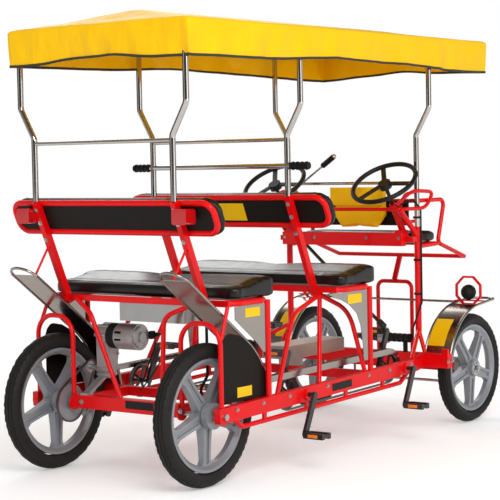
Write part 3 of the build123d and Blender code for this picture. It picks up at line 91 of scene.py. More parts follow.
def place(x: float, y: float, z: float) -> Vector:
    """Point of the finished vehicle from millimetres counted from the rear axle.

    Args:
        x: forward of the rear axle, in millimetres.
        y: to the riders' left, in millimetres.
        z: above the ground, in millimetres.

    Returns:
        The point in the row frame, in metres.
    """
    return Vector((x / 1000 + REAR_AXLE_X, y / 1000, z / 1000))


class Grain(Enum):
    """Fine surface relief that a finish shows close up."""

    PEEL = "slight ripple of sprayed paint"
    BRUSHED = "fine lines along the piece"
    HIDE = "pebbled vinyl"
    WEAVE = "woven threads"
    CAST = "coarse cast skin"
    RIBS = "moulded rings along Y"
    CHEQUER = "raised diamonds"
    LINKS = "chain links along X"
    FOAM = "fine moulded foam"


@dataclass(frozen=True)
class Finish:
    """One finish of the vehicle and the numbers its material is made from."""

    title: str
    slot: str
    colour: Colour
    grain: Grain
    metallic: float = 0.0
    roughness: float = 0.4
    spread: float = 0.06
    tone: float = 0.08
    bump: float = 0.15
    coat: float = 0.0
    crease: float = 0.0
    specular: float = 0.5

    def material(self) -> bpy.types.Material:
        """Material of this finish, made once.

        Returns:
            The procedural material.
        """
        known = bpy.data.materials.get(self.title)
        if known is not None:
            return known
        return MaterialBench(self).build()


class NodeBench:
    """Fills one node tree."""

    def __init__(self, tree: bpy.types.NodeTree) -> None:
        """Starts with an empty tree.

        Args:
            tree: the tree to fill.
        """
        self.tree = tree
        self.tree.nodes.clear()

    def node(self, kind: str, values: dict[str | int, Any] | None = None, **settings: Any) -> bpy.types.Node:
        """Adds a node.

        Args:
            kind: Blender's name of the node type.
            values: what its input sockets get, each a constant or another node's output.
            **settings: attributes to set on it.

        Returns:
            The new node.
        """
        made = self.tree.nodes.new(kind)
        for name, value in settings.items():
            setattr(made, name, value)
        for name, value in (values or {}).items():
            if isinstance(value, bpy.types.NodeSocket):
                self.tree.links.new(value, made.inputs[name])
            else:
                made.inputs[name].default_value = value
        return made

    def mixed(self, amount: bpy.types.NodeSocket, first: bpy.types.Node,
              second: bpy.types.Node) -> bpy.types.Node:
        """Mixes two shaders.

        Args:
            amount: socket with the second one's share.
            first: the first shader's node.
            second: the second shader's node.

        Returns:
            The mixing node.
        """
        return self.node("ShaderNodeMixShader", {"Fac": amount, 1: first.outputs[0], 2: second.outputs[0]})


class MaterialBench(NodeBench):
    """Builds the node tree of one finish."""

    def __init__(self, finish: Finish) -> None:
        """Starts an empty tree.

        Args:
            finish: the finish to make.
        """
        self.finish = finish
        self.made = bpy.data.materials.new(finish.title)
        self.made.use_nodes = True
        super().__init__(self.made.node_tree)
        self.coordinates = self.node("ShaderNodeTexCoord")

    def mapped(self, scale: Point, turn: Point = (0.0, 0.0, 0.0)) -> bpy.types.NodeSocket:
        """Object coordinates, stretched and turned.

        Args:
            scale: factor along X, Y and Z.
            turn: rotation in radians.

        Returns:
            The socket that carries the coordinates.
        """
        values = {"Vector": self.coordinates.outputs["Object"], "Scale": scale, "Rotation": turn}
        return self.node("ShaderNodeMapping", values).outputs["Vector"]

    def noise(self, scale: float, detail: float = 2.0,
              stretch: Point = (1.0, 1.0, 1.0)) -> bpy.types.NodeSocket:
        """Noise pattern.

        Args:
            scale: size of the pattern.
            detail: octaves.
            stretch: factor along each axis.

        Returns:
            The pattern's value socket.
        """
        values = {"Vector": self.mapped(stretch), "Scale": scale, "Detail": detail}
        return self.node("ShaderNodeTexNoise", values).outputs["Fac"]

    def bands(self, direction: str, scale: float, turn: Point = (0.0, 0.0, 0.0)) -> bpy.types.NodeSocket:
        """Regular bands.

        Args:
            direction: "X", "Y" or "Z".
            scale: bands per length.
            turn: rotation in radians.

        Returns:
            The pattern's value socket.
        """
        values = {"Vector": self.mapped((1.0, 1.0, 1.0), turn), "Scale": scale, "Distortion": 0.0}
        pattern = self.node("ShaderNodeTexWave", values, wave_type="BANDS", bands_direction=direction)
        return pattern.outputs["Fac"]

    def combine(self, kind: str, first: bpy.types.NodeSocket,
                second: bpy.types.NodeSocket | float) -> bpy.types.NodeSocket:
        """Joins two values by one operation.

        Args:
            kind: Blender's name of the operation.
            first: first value.
            second: second value or a number.

        Returns:
            The result's socket.
        """
        return self.node("ShaderNodeMath", {0: first, 1: second}, operation=kind).outputs["Value"]

    def height(self) -> bpy.types.NodeSocket:
        """Relief of the finish.

        Returns:
            The height's socket.
        """
        grain = self.finish.grain
        if grain is Grain.BRUSHED:
            return self.noise(60, 3.0, (0.12, 7.0, 7.0))
        if grain is Grain.HIDE:
            values = {"Vector": self.mapped((1.0, 1.0, 1.0)), "Scale": 420}
            cells = self.node("ShaderNodeTexVoronoi", values, feature="SMOOTH_F1")
            return self.combine("ADD", cells.outputs["Distance"], self.noise(60, 3.0))
        if grain is Grain.WEAVE:
            across = self.combine("MAXIMUM", self.bands("X", 190), self.bands("Y", 190))
            return self.combine("MAXIMUM", across, self.bands("Z", 190))
        if grain is Grain.CAST:
            return self.noise(190, 5.0)
        if grain is Grain.RIBS:
            return self.bands("Y", 60)
        if grain is Grain.CHEQUER:
            quarter = math.pi / 4
            first = self.bands("X", 14, (0.0, 0.0, quarter))
            second = self.bands("X", 14, (0.0, 0.0, -quarter))
            raised = self.combine("MULTIPLY", first, second)
            return self.combine("GREATER_THAN", raised, 0.55)
        if grain is Grain.LINKS:
            return self.bands("X", 26)
        if grain is Grain.FOAM:
            return self.noise(700, 2.0)
        return self.noise(260, 1.0)

    def build(self) -> bpy.types.Material:
        """Makes the whole tree.

        Returns:
            The finished material.
        """
        finish = self.finish
        dark = [channel * (1 - finish.tone) for channel in finish.colour]
        light = [min(1.0, channel * (1 + finish.tone)) for channel in finish.colour]
        tones = {0: self.noise(7.0, 4.0), 6: (*dark, 1.0), 7: (*light, 1.0)}
        blend = self.node("ShaderNodeMix", tones, data_type="RGBA")
        spread = self.node("ShaderNodeMapRange", {
            "Value": self.noise(23.0, 4.0),
            "To Min": max(0.02, finish.roughness - finish.spread),
            "To Max": min(1.0, finish.roughness + finish.spread),
        })
        coarse = finish.grain in (Grain.CHEQUER, Grain.LINKS, Grain.RIBS)
        relief = {"Height": self.height(), "Strength": finish.bump,
                  "Distance": COARSE_RELIEF if coarse else FINE_RELIEF}
        if finish.crease > 0:
            creases = self.noise(5.5, 3.0, (1.0, 1.7, 0.55))
            folds = {"Height": creases, "Strength": finish.crease, "Distance": FOLD_RELIEF}
            relief["Normal"] = self.node("ShaderNodeBump", folds).outputs["Normal"]
        shader = self.node("ShaderNodeBsdfPrincipled", {
            "Base Color": blend.outputs[2], "Roughness": spread.outputs["Result"],
            "Normal": self.node("ShaderNodeBump", relief).outputs["Normal"],
            "Metallic": finish.metallic, "Specular IOR Level": finish.specular,
            "Coat Weight": finish.coat, "Coat Roughness": COAT_ROUGHNESS,
        })
        self.node("ShaderNodeOutputMaterial", {"Surface": shader.outputs["BSDF"]})
        return self.made


RED_PAINT = Finish("glossy red powder coat", "red_paint", (0.74, 0.0015, 0.003), Grain.PEEL,
                   roughness=0.30, bump=0.05, coat=0.10, tone=0.06, specular=0.22)
BLACK_BOARD = Finish("black laminate board", "black_board", (0.0085, 0.0065, 0.005), Grain.CAST,
                     roughness=0.45, bump=0.12, specular=0.14)
BLACK_VINYL = Finish("black seat vinyl", "black_vinyl", (0.007, 0.0055, 0.005), Grain.HIDE,
                     roughness=0.30, bump=0.22, crease=0.12, specular=0.38)
STAINLESS = Finish("polished stainless sheet", "stainless", (0.38, 0.345, 0.31), Grain.BRUSHED,
                   metallic=1.0, roughness=0.20, spread=0.05, bump=0.06)
CHROME = Finish("chrome plated tube", "chrome_tube", (0.56, 0.53, 0.50), Grain.PEEL,
                metallic=1.0, roughness=0.10, spread=0.03, bump=0.02)
GRIP_RUBBER = Finish("ribbed grip rubber", "black_rubber", (0.008, 0.008, 0.008), Grain.FOAM,
                     roughness=0.55, bump=0.2, specular=0.25)
CANVAS = Finish("yellow coated canvas", "yellow_canvas", (1.0, 0.54, 0.0005), Grain.WEAVE,
                roughness=0.45, bump=0.2, tone=0.08, crease=1.0, specular=0.16)
CAST_SILVER = Finish("silver painted casting", "cast_silver", (0.26, 0.275, 0.295), Grain.CAST,
                     metallic=0.30, roughness=0.36, bump=0.07, coat=0.15)
TYRE_RUBBER = Finish("road tyre rubber", "tyre_rubber", (0.016, 0.0145, 0.013), Grain.FOAM,
                     roughness=0.55, bump=0.25, tone=0.30, specular=0.22)
ZINC = Finish("zinc plated steel", "axle_steel", (0.50, 0.50, 0.49), Grain.BRUSHED,
              metallic=1.0, roughness=0.30, bump=0.08)
TREAD_PLATE = Finish("chequered tread plate", "tread_plate", (0.52, 0.48, 0.42), Grain.CHEQUER,
                     metallic=0.9, roughness=0.33, bump=0.9)
MOTOR_METAL = Finish("turned and cast aluminium", "motor_metal", (0.50, 0.50, 0.50), Grain.CAST,
                     metallic=0.8, roughness=0.40, bump=0.12)
CASE_METAL = Finish("brushed aluminium case", "motor_metal", (0.42, 0.41, 0.40), Grain.BRUSHED,
                    metallic=1.0, roughness=0.30, bump=0.10)
BLACK_PAINT = Finish("black crank paint", "black_paint", (0.014, 0.014, 0.014), Grain.PEEL,
                     roughness=0.3, bump=0.05, coat=0.3)
RED_LENS = Finish("red lamp lens", "lens_red", (0.50, 0.003, 0.005), Grain.RIBS,
                  roughness=0.12, bump=0.35, coat=0.6)
WHEEL_PLASTIC = Finish("moulded steering wheel", "wheel_vinyl", (0.008, 0.008, 0.008), Grain.HIDE,
                       roughness=0.42, bump=0.15, specular=0.3)
HEM_TAPE = Finish("black binding tape", "yellow_canvas", (0.030, 0.028, 0.016), Grain.WEAVE,
                  roughness=0.7, bump=0.3)
AMBER = Finish("amber reflector", "lens_red", (0.85, 0.20, 0.01), Grain.CHEQUER,
               roughness=0.15, bump=0.4, coat=0.5)
BLANK_YELLOW = Finish("blank yellow film", "yellow_canvas", (0.90, 0.54, 0.002), Grain.PEEL,
                      roughness=0.35, bump=0.03, specular=0.2)
BLANK_BLACK = Finish("blank black plate", "black_board", (0.006, 0.006, 0.006), Grain.PEEL,
                     roughness=0.25, bump=0.03, specular=0.2)
OILED_CHAIN = Finish("oiled chain", "axle_steel", (0.16, 0.15, 0.14), Grain.LINKS,
                     metallic=1.0, roughness=0.4, bump=0.8)

FINISHES: dict[str, Finish] = {
    finish.slot: finish
    for finish in (RED_PAINT, BLACK_BOARD, BLACK_VINYL, STAINLESS, CHROME, GRIP_RUBBER, CANVAS, CAST_SILVER,
                   TYRE_RUBBER, ZINC, TREAD_PLATE, MOTOR_METAL, BLACK_PAINT, RED_LENS, WHEEL_PLASTIC)
}
SPECIAL: dict[str, Finish] = {"drive_chains": OILED_CHAIN, "controller_box": CASE_METAL}


def clear_selection() -> None:
    """Leaves edit mode and deselects everything."""
    if bpy.context.object is not None and bpy.context.object.mode != "OBJECT":
        bpy.ops.object.mode_set(mode="OBJECT")
    bpy.ops.object.select_all(action="DESELECT")


def pick(obj: bpy.types.Object) -> None:
    """Makes one object the only selected and active one."""
    clear_selection()
    obj.select_set(True)
    bpy.context.view_layer.objects.active = obj


def linked(name: str, data: bpy.types.ID) -> bpy.types.Object:
    """New object in the scene that carries the data."""
    made = bpy.data.objects.new(name, data)
    bpy.context.scene.collection.objects.link(made)
    return made


def bake_place(obj: bpy.types.Object) -> None:
    """Moves an object's place into its mesh."""
    obj.data.transform(obj.matrix_world)
    obj.matrix_world = Matrix.Identity(4)


def apply_modifier(obj: bpy.types.Object, kind: str, **settings: Any) -> None:
    """Adds a modifier, sets it and applies it.

    Args:
        obj: the object.
        kind: Blender's name of the modifier type.
        **settings: attributes to set on it.
    """
    pick(obj)
    made = obj.modifiers.new(kind.title(), kind)
    for name, value in settings.items():
        setattr(made, name, value)
    bpy.ops.object.modifier_apply(modifier=made.name)


def smooth(obj: bpy.types.Object, degrees: float = 35.0) -> None:
    """Shades an object smooth below an angle."""
    pick(obj)
    bpy.ops.object.shade_smooth_by_angle(angle=math.radians(degrees))


def settle(obj: bpy.types.Object, body: str, finish: Finish,
           stands_for: Sequence[str] = ()) -> bpy.types.Object:
    """Gives a finished piece its material and its body, and hides the nodes it stands for.

    Args:
        obj: the piece.
        body: CAD body it rides on.
        finish: its finish.
        stands_for: CAD nodes that it replaces.

    Returns:
        The same piece.
    """
    obj.data.materials.clear()
    obj.data.materials.append(finish.material())
    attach(obj, body)
    if stands_for:
        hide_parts(*stands_for)
    LOG.info("%s rides on %s", obj.name, body)
    return obj


def spun(name: str, profile: Sequence[tuple[float, float]], centre: Vector, steps: int) -> bpy.types.Object:
    """Ring turned round an axis along Y.

    Args:
        name: name of the piece.
        profile: closed section as radius and Y pairs, in metres.
        centre: centre of the ring.
        steps: faces round the ring.

    Returns:
        The new object.
    """
    clear_selection()
    bpy.ops.mesh.primitive_circle_add(vertices=len(profile), radius=0.1)
    obj = bpy.context.object
    obj.name = name
    for vertex, (radius, y) in zip(obj.data.vertices, profile):
        vertex.co = centre + Vector((radius, y, 0.0))
    bpy.ops.object.mode_set(mode="EDIT")
    bpy.ops.mesh.select_all(action="SELECT")
    bpy.ops.mesh.spin(steps=steps, angle=2 * math.pi, center=centre, axis=(0.0, 1.0, 0.0))
    bpy.ops.mesh.select_all(action="SELECT")
    bpy.ops.mesh.remove_doubles(threshold=0.00002)
    bpy.ops.mesh.normals_make_consistent(inside=False)
    bpy.ops.object.mode_set(mode="OBJECT")
    return obj


def soft_box(name: str, low: Vector, high: Vector, bevel: float, segments: int = 3) -> bpy.types.Object:
    """Block with rounded edges.

    Args:
        name: name of the piece.
        low: lowest corner.
        high: highest corner.
        bevel: edge radius in metres.
        segments: faces in each rounded edge.

    Returns:
        The new object.
    """
    clear_selection()
    bpy.ops.mesh.primitive_cube_add(size=1.0)
    obj = bpy.context.object
    obj.name = name
    obj.data.transform(Matrix.Translation((low + high) / 2) @ Matrix.Diagonal((*(high - low), 1.0)))
    apply_modifier(obj, "BEVEL", width=bevel, segments=segments)
    smooth(obj)
    return obj


def disc(name: str, start: Vector, end: Vector, radius: float, bevel: float,
         sides: int = 32) -> bpy.types.Object:
    """Round or many-sided boss between two points, with bevelled rims.

    Args:
        name: name of the piece.
        start: centre of one face.
        end: centre of the other face.
        radius: radius in metres.
        bevel: rim radius in metres.
        sides: number of sides.

    Returns:
        The new object.
    """
    clear_selection()
    along = end - start
    bpy.ops.mesh.primitive_cylinder_add(vertices=sides, radius=radius, depth=along.length)
    obj = bpy.context.object
    obj.name = name
    turn = along.to_track_quat("Z", "Y").to_matrix().to_4x4()
    obj.data.transform(Matrix.Translation((start + end) / 2) @ turn)
    apply_modifier(obj, "BEVEL", width=bevel, segments=2, limit_method="ANGLE", angle_limit=math.radians(50))
    smooth(obj, 40.0)
    return obj


def joined(name: str, pieces: Sequence[bpy.types.Object]) -> bpy.types.Object:
    """Several objects made one.

    Args:
        name: name of the result.
        pieces: objects to join.

    Returns:
        The joined object.
    """
    clear_selection()
    for piece in pieces:
        piece.select_set(True)
    bpy.context.view_layer.objects.active = pieces[0]
    if len(pieces) > 1:
        bpy.ops.object.join()
    made = bpy.context.view_layer.objects.active
    made.name = name
    return made


def swept(name: str, kind: str, route: Sequence[Vector], radius: float, resolution: int) -> bpy.types.Object:
    """Round rod along a curve.

    Args:
        name: name of the piece.
        kind: "POLY" or "NURBS".
        route: points of the curve.
        radius: radius in metres.
        resolution: fineness of the round section.

    Returns:
        The new object.
    """
    curve = bpy.data.curves.new(name, "CURVE")
    curve.dimensions = "3D"
    curve.bevel_depth = radius
    curve.bevel_resolution = resolution
    curve.use_fill_caps = True
    spline = curve.splines.new(kind)
    spline.points.add(len(route) - 1)
    for point, target in zip(spline.points, route):
        point.co = (*target, 1.0)
    if kind == "NURBS":
        spline.order_u = 3
        spline.use_endpoint_u = True
    pick(linked(name, curve))
    bpy.ops.object.convert(target="MESH")
    return bpy.context.object


def cable(name: str, route: Sequence[Vector], radius: float) -> bpy.types.Object:
    """Round cable along a smooth route.

    Args:
        name: name of the piece.
        route: control points.
        radius: radius in metres.

    Returns:
        The new object.
    """
    made = swept(name, "NURBS", route, radius, 3)
    for polygon in made.data.polygons:
        polygon.use_smooth = True
    return made


def tube(name: str, route: Sequence[Vector], radius: float, bend: float = 0.03) -> bpy.types.Object:
    """Round tube along straight runs with rounded corners.

    Args:
        name: name of the piece.
        route: corner points.
        radius: radius in metres.
        bend: length cut off each corner in metres.

    Returns:
        The new object.
    """
    soft = [route[0]]
    for before, corner, after in zip(route, route[1:], route[2:]):
        back = (before - corner).normalized() * min(bend, (before - corner).length * 0.45)
        ahead = (after - corner).normalized() * min(bend, (after - corner).length * 0.45)
        for step in range(6):
            share = step / 5
            soft.append(corner + back * (1 - share) ** 2 + ahead * share ** 2)
    soft.append(route[-1])
    made = swept(name, "POLY", soft, radius, 4)
    smooth(made, 50.0)
    return made


def slab(name: str, centre: Vector, along: Vector, up: Vector, size: Point,
         bevel: float = 0.0004) -> bpy.types.Object:
    """Small turned block.

    Args:
        name: name of the piece.
        centre: its centre.
        along: direction of its length.
        up: direction of its height.
        size: length, height and thickness in metres.
        bevel: edge radius in metres.

    Returns:
        The new object.
    """
    half = Vector(size) / 2
    obj = soft_box(name, -half, half, bevel, 1)
    first = along.normalized()
    third = first.cross(up).normalized()
    second = third.cross(first)
    obj.data.transform(Matrix.Translation(centre) @ Matrix((first, second, third)).transposed().to_4x4())
    return obj


def node_copy(frame: dict[str, Any], node: str, name: str) -> bpy.types.Object:
    """Copy of a CAD node as one closed mesh.

    Args:
        node: CAD node to copy.
        name: name of the copy.

    Returns:
        The new object.
    """
    made = linked(name, frame["nodes"][node].data.copy())
    pick(made)
    bpy.ops.object.mode_set(mode="EDIT")
    bpy.ops.mesh.select_all(action="SELECT")
    bpy.ops.mesh.remove_doubles(threshold=0.00005)
    bpy.ops.object.mode_set(mode="OBJECT")
    return made


def split_loose(obj: bpy.types.Object) -> list[bpy.types.Object]:
    """Separates an object's loose parts.

    Args:
        obj: the object to separate.

    Returns:
        The parts.
    """
    pick(obj)
    before = set(bpy.data.objects)
    bpy.ops.object.mode_set(mode="EDIT")
    bpy.ops.mesh.select_all(action="SELECT")
    bpy.ops.mesh.separate(type="LOOSE")
    bpy.ops.object.mode_set(mode="OBJECT")
    return [obj] + [made for made in bpy.data.objects if made not in before]


@dataclass
class Padding:
    """Turns a CAD solid into a stuffed, crowned pad by a short cloth simulation."""

    voxel: float = 0.007
    shrink: float = 0.004
    cap: float = 0.009
    pressure: float = 4.0
    frames: int = 20

    def puff(self, obj: bpy.types.Object) -> None:
        """Rounds and fills one closed solid in place.

        Args:
            obj: the pad, a closed mesh.
        """
        corners = [vertex.co.copy() for vertex in obj.data.vertices]
        low = Vector([min(c[i] for c in corners) for i in range(3)])
        high = Vector([max(c[i] for c in corners) for i in range(3)])
        middle = (low + high) / 2
        size = high - low
        factor = [max(0.5, 1 - 2 * self.shrink / max(size[i], 0.01)) for i in range(3)]
        for vertex in obj.data.vertices:
            vertex.co = Vector([middle[i] + (vertex.co[i] - middle[i]) * factor[i] for i in range(3)])
        apply_modifier(obj, "REMESH", mode="VOXEL", voxel_size=self.voxel)
        self.simulate(obj)
        for vertex in obj.data.vertices:
            vertex.co = Vector([min(max(vertex.co[i], low[i] - 0.002), high[i] + 0.004) for i in range(3)])
        apply_modifier(obj, "SMOOTH", factor=0.6, iterations=4)
        apply_modifier(obj, "SUBSURF", levels=1, render_levels=1)
        for polygon in obj.data.polygons:
            polygon.use_smooth = True

    def simulate(self, obj: bpy.types.Object) -> None:
        """Runs the cloth with air pressure and caps how far it moves.

        Args:
            obj: the remeshed pad.
        """
        rest = [vertex.co.copy() for vertex in obj.data.vertices]
        pick(obj)
        made = obj.modifiers.new("Cloth", "CLOTH")
        made.settings.use_pressure = True
        made.settings.uniform_pressure_force = self.pressure
        made.settings.effector_weights.gravity = 0.0
        made.settings.quality = 4
        scene = bpy.context.scene
        for number in range(1, self.frames + 1):
            scene.frame_set(number)
        bpy.ops.object.modifier_apply(modifier=made.name)
        scene.frame_set(1)
        for vertex, start in zip(obj.data.vertices, rest):
            move = vertex.co - start
            if move.length > self.cap:
                vertex.co = start + move.normalized() * self.cap


@dataclass
class SoftSeats:
    """Seat cushions with the bench's, backrest pads and the cloth pouch."""

    seat_padding: Padding = field(default_factory=lambda: Padding(voxel=0.0075, shrink=0.005, cap=0.011))
    back_padding: Padding = field(default_factory=lambda: Padding(voxel=0.006, shrink=0.003, cap=0.008))
    pouch_padding: Padding = field(
        default_factory=lambda: Padding(voxel=0.005, shrink=0.004, cap=0.012, pressure=2.5))

    def build(self, frame: dict[str, Any]) -> None:
        """Makes every padded piece.
        """
        for node, padding in (("seat_cushions", self.seat_padding), ("backrest_pads", self.back_padding)):
            pads = split_loose(node_copy(frame, node, node[:-1]))
            for index, pad in enumerate(sorted(pads, key=lambda part: part.data.vertices[0].co.x)):
                pad.name = f"{node[:-1]}_{index + 1}"
                padding.puff(pad)
                settle(pad, "chassis", BLACK_VINYL, [node])
        bag = node_copy(frame, "pouch", "cloth_pouch")
        self.pouch_padding.puff(bag)
        settle(bag, "chassis", CANVAS, ["pouch"])


@dataclass
class CanopyCloth:
    """Yellow canopy: one stretched sheet with a hanging valance and a black bound hem."""

    rear: float = -0.147
    front: float = 2.132
    half: float = 0.490
    hem: float = 1.682
    eave: float = 1.836
    ridge: float = 1.9035
    hip: float = 0.225
    ridge_half: float = 0.045
    bows: tuple[float, ...] = (0.109, 0.629, 1.652)
    cell: float = 0.026
    rows: int = 7
    sag: float = 0.007
    wrinkle: float = 0.016
    wave: float = 0.0040
    fold: float = 0.0110
    ripple: float = 0.0045
    thickness: float = 0.0014
    tape: float = 0.0050
    seam: float = 0.02
    hem_rise: float = 0.0135
    hem_corner: float = 0.0110
    hem_wave: float = 0.0025

    def height(self, x: float, y: float) -> float:
        """Height of the cloth over the bows.

        Args:
            x: distance forward of the rear axle, in metres.
            y: distance to the left, in metres.

        Returns:
            Height above the ground, in metres.
        """
        along = min(x - self.rear, self.front - x) / self.hip
        across = (self.half - abs(y)) / (self.half - self.ridge_half)
        share = max(0.0, min(1.0, along, across))
        rise = self.eave + (self.ridge - self.eave) * share
        stops = (self.rear, *self.bows, self.front)
        for start, end in zip(stops, stops[1:]):
            if start <= x <= end:
                phase = math.sin(math.pi * (x - start) / (end - start))
                sag = self.sag * phase * phase * min(1.0, 3.0 * share * (1.02 - share))
                folds = abs(noise.noise(Vector((x * 7.0 + y * 2.0, y * 9.0, 1.0))))
                return rise - sag - self.wrinkle * folds * min(1.0, 4.0 * share * (1.02 - share))
        return rise

    def outward(self, distance: float, drop: float) -> float:
        """How far the valance stands out at a place along the eave.

        Args:
            distance: way round the eave, in metres.
            drop: share of the way down to the hem.

        Returns:
            Offset outward, in metres.
        """
        wave = math.sin(distance * 9.2) + 0.5 * math.sin(distance * 23.0 + 1.1)
        folds = noise.noise(Vector((distance * 10.0, drop * 2.2, 4.0)))
        ripple = noise.noise(Vector((distance * 27.0, drop * 3.5, 9.0)))
        hanging = -0.006 * drop + self.wave * drop * wave
        return hanging + self.fold * folds * (0.2 + drop) + self.ripple * ripple * (0.3 + drop)

    def hem_line(self, x: float, y: float) -> float:
        """How far the hem hangs above its lowest height: least at the corners.

        Args:
            x: place along the cycle, in metres.
            y: place across the cycle, in metres.

        Returns:
            Offset upward, in metres.
        """
        middle = (self.rear + self.front) / 2
        reach = (self.front - self.rear) / 2
        angle = math.atan2(y / self.half, (x - middle) / reach)
        corner = math.cos(4 * angle)
        return self.hem_rise + self.hem_corner * corner + self.hem_wave * math.sin(11 * angle + 2.0)

    def sheet(self) -> bpy.types.Object:
        """Makes the cloth before it gets its thickness.

        Returns:
            The sheet as an open mesh.
        """
        columns = round((self.front - self.rear) / self.cell)
        lines = round(2 * self.half / self.cell)
        clear_selection()
        bpy.ops.mesh.primitive_grid_add(x_subdivisions=columns, y_subdivisions=lines, size=1.0)
        obj = bpy.context.object
        obj.name = "canopy_cloth"
        work = bmesh.new()
        work.from_mesh(obj.data)
        for vertex in work.verts:
            x = self.rear + (vertex.co.x + 0.5) * (self.front - self.rear)
            y = vertex.co.y * 2 * self.half
            vertex.co = (x, y, self.height(x, y))
        border = [edge for edge in work.edges if edge.is_boundary]
        for row in range(1, self.rows + 1):
            made = bmesh.ops.extrude_edge_only(work, edges=border)["geom"]
            fresh = [item for item in made if isinstance(item, bmesh.types.BMVert)]
            drop = row / self.rows
            for vertex in fresh:
                low = self.hem + self.hem_line(vertex.co.x, vertex.co.y)
                vertex.co.z = self.eave + (low - self.eave) * drop
                self.lean(vertex, drop)
            border = [item for item in made if isinstance(item, bmesh.types.BMEdge) and item.is_boundary]
        bmesh.ops.recalc_face_normals(work, faces=work.faces)
        for vertex in work.verts:
            vertex.co.x += REAR_AXLE_X
        work.to_mesh(obj.data)
        work.free()
        return obj

    def lean(self, vertex: bmesh.types.BMVert, drop: float) -> None:
        """Moves a valance vertex outward or inward by the cloth's folds.

        Args:
            vertex: vertex of the valance.
            drop: share of the way down to the hem.
        """
        x, y = vertex.co.x, vertex.co.y
        gaps = {(-1, 0): x - self.rear, (1, 0): self.front - x, (0, 1): self.half - y, (0, -1): y + self.half}
        near = min(gaps.values())
        faces = [way for way, gap in gaps.items() if gap < near + 0.006]
        distance = x if abs(faces[0][1]) else y + 3.1
        amount = self.outward(distance, drop) * 0.55
        if len(faces) > 1:
            amount = -0.001 * drop
        for way in faces:
            vertex.co.x += way[0] * amount
            vertex.co.y += way[1] * amount

    def build(self) -> None:
        """Makes the sheet and its hem."""
        cloth = self.sheet()
        apply_modifier(cloth, "SUBSURF", levels=1, render_levels=1)
        hem = self.hem_band(cloth)
        area = sum(polygon.area for polygon in cloth.data.polygons)
        apply_modifier(cloth, "SOLIDIFY", thickness=self.thickness, offset=-1.0)
        smooth(cloth, 50.0)
        settle(cloth, "chassis", CANVAS, ["canopy"])
        width = 2 * (self.half + self.eave - self.hem) + self.seam
        length = self.front - self.rear + 2 * (self.eave - self.hem) + self.seam
        area = min(area, width * length)
        settle(hem, "chassis", HEM_TAPE)

    def hem_band(self, cloth: bpy.types.Object) -> bpy.types.Object:
        """Black binding on the cloth's lowest row of faces.

        Args:
            cloth: the finished open sheet.

        Returns:
            The binding.
        """
        band = linked("canopy_hem", cloth.data.copy())
        work = bmesh.new()
        work.from_mesh(band.data)
        keep = {face for edge in work.edges if edge.is_boundary for face in edge.link_faces}
        bmesh.ops.delete(work, geom=[face for face in work.faces if face not in keep], context="FACES")
        work.to_mesh(band.data)
        work.free()
        apply_modifier(band, "SOLIDIFY", thickness=self.tape, offset=0.1)
        smooth(band, 50.0)
        return band


@dataclass
class RoadTyre:
    """Road tyre with a grooved tread, notched shoulders and plain sidewalls."""

    node: str
    body: str
    centre: Vector
    radius: float
    width: float
    profile: float
    blocks: int = 54
    groove: float = 0.0045
    zigzag: float = 0.0013
    notch: float = 0.0032
    shoulder: float = 0.021

    def section(self) -> list[tuple[float, float]]:
        """Closed section of the tyre.

        Returns:
            Radius and Y pairs, in metres.
        """
        r = self.radius
        half = self.width / 2
        deep = self.groove
        right = [
            (r - 0.0002, 0.0022), (r - 0.0006, half * 0.16), (r - deep, half * 0.19), (r - deep, half * 0.27),
            (r - 0.0018, half * 0.30), (r - 0.0048, half * 0.50), (r - deep - 0.004, half * 0.52),
            (r - deep - 0.005, half * 0.59), (r - 0.0072, half * 0.62), (r - 0.0125, half * 0.80),
            (r - 0.019, half * 0.91), (r - self.profile * 0.55, half * 0.995),
            (r - self.profile * 0.75, half * 0.95), (r - self.profile * 0.92, half * 0.80),
            (r - self.profile * 0.97, half * 0.76), (r - self.profile, half * 0.72),
        ]
        left = [(radius, -y) for radius, y in reversed(right)]
        return right + left

    def build(self) -> None:
        """Spins the section and cuts the shoulder blocks into it."""
        steps = self.blocks * 3
        obj = spun(self.node.replace("tyre", "road_tyre"), self.section(), self.centre, steps)
        half = self.width / 2
        for vertex in obj.data.vertices:
            arm = vertex.co - self.centre
            reach = math.hypot(arm.x, arm.z)
            if reach < self.radius - self.shoulder:
                continue
            step = round(math.atan2(arm.z, arm.x) / (2 * math.pi) * steps)
            share = abs(arm.y) / half
            if 0.1 < share < 0.66:
                vertex.co.y += self.zigzag * (1 if step % 6 < 3 else -1)
            if share > 0.52 and step % 3 == 0:
                factor = (reach - self.notch) / reach
                vertex.co.x = self.centre.x + arm.x * factor
                vertex.co.z = self.centre.z + arm.z * factor
        smooth(obj, 28.0)
        settle(obj, self.body, TYRE_RUBBER, [self.node])


@dataclass
class RunningGear:
    """The four road tyres."""

    rear_size: Point = (REAR_RADIUS / 1000, 0.072, 0.056)
    front_size: Point = (FRONT_RADIUS / 1000, 0.066, 0.048)
    front_blocks: int = 50

    def build(self) -> None:
        """Makes the tyres that turn with the wheels."""
        for name, side in SIDES:
            rear = place(0, side * REAR_WHEEL_Y, REAR_RADIUS)
            front = place(WHEELBASE, side * FRONT_WHEEL_Y, FRONT_RADIUS)
            RoadTyre(f"rear_tyre_{name}", f"rear_wheel_{name}_body", rear, *self.rear_size).build()
            RoadTyre(f"front_tyre_{name}", f"front_wheel_{name}_body", front, *self.front_size,
                     self.front_blocks).build()


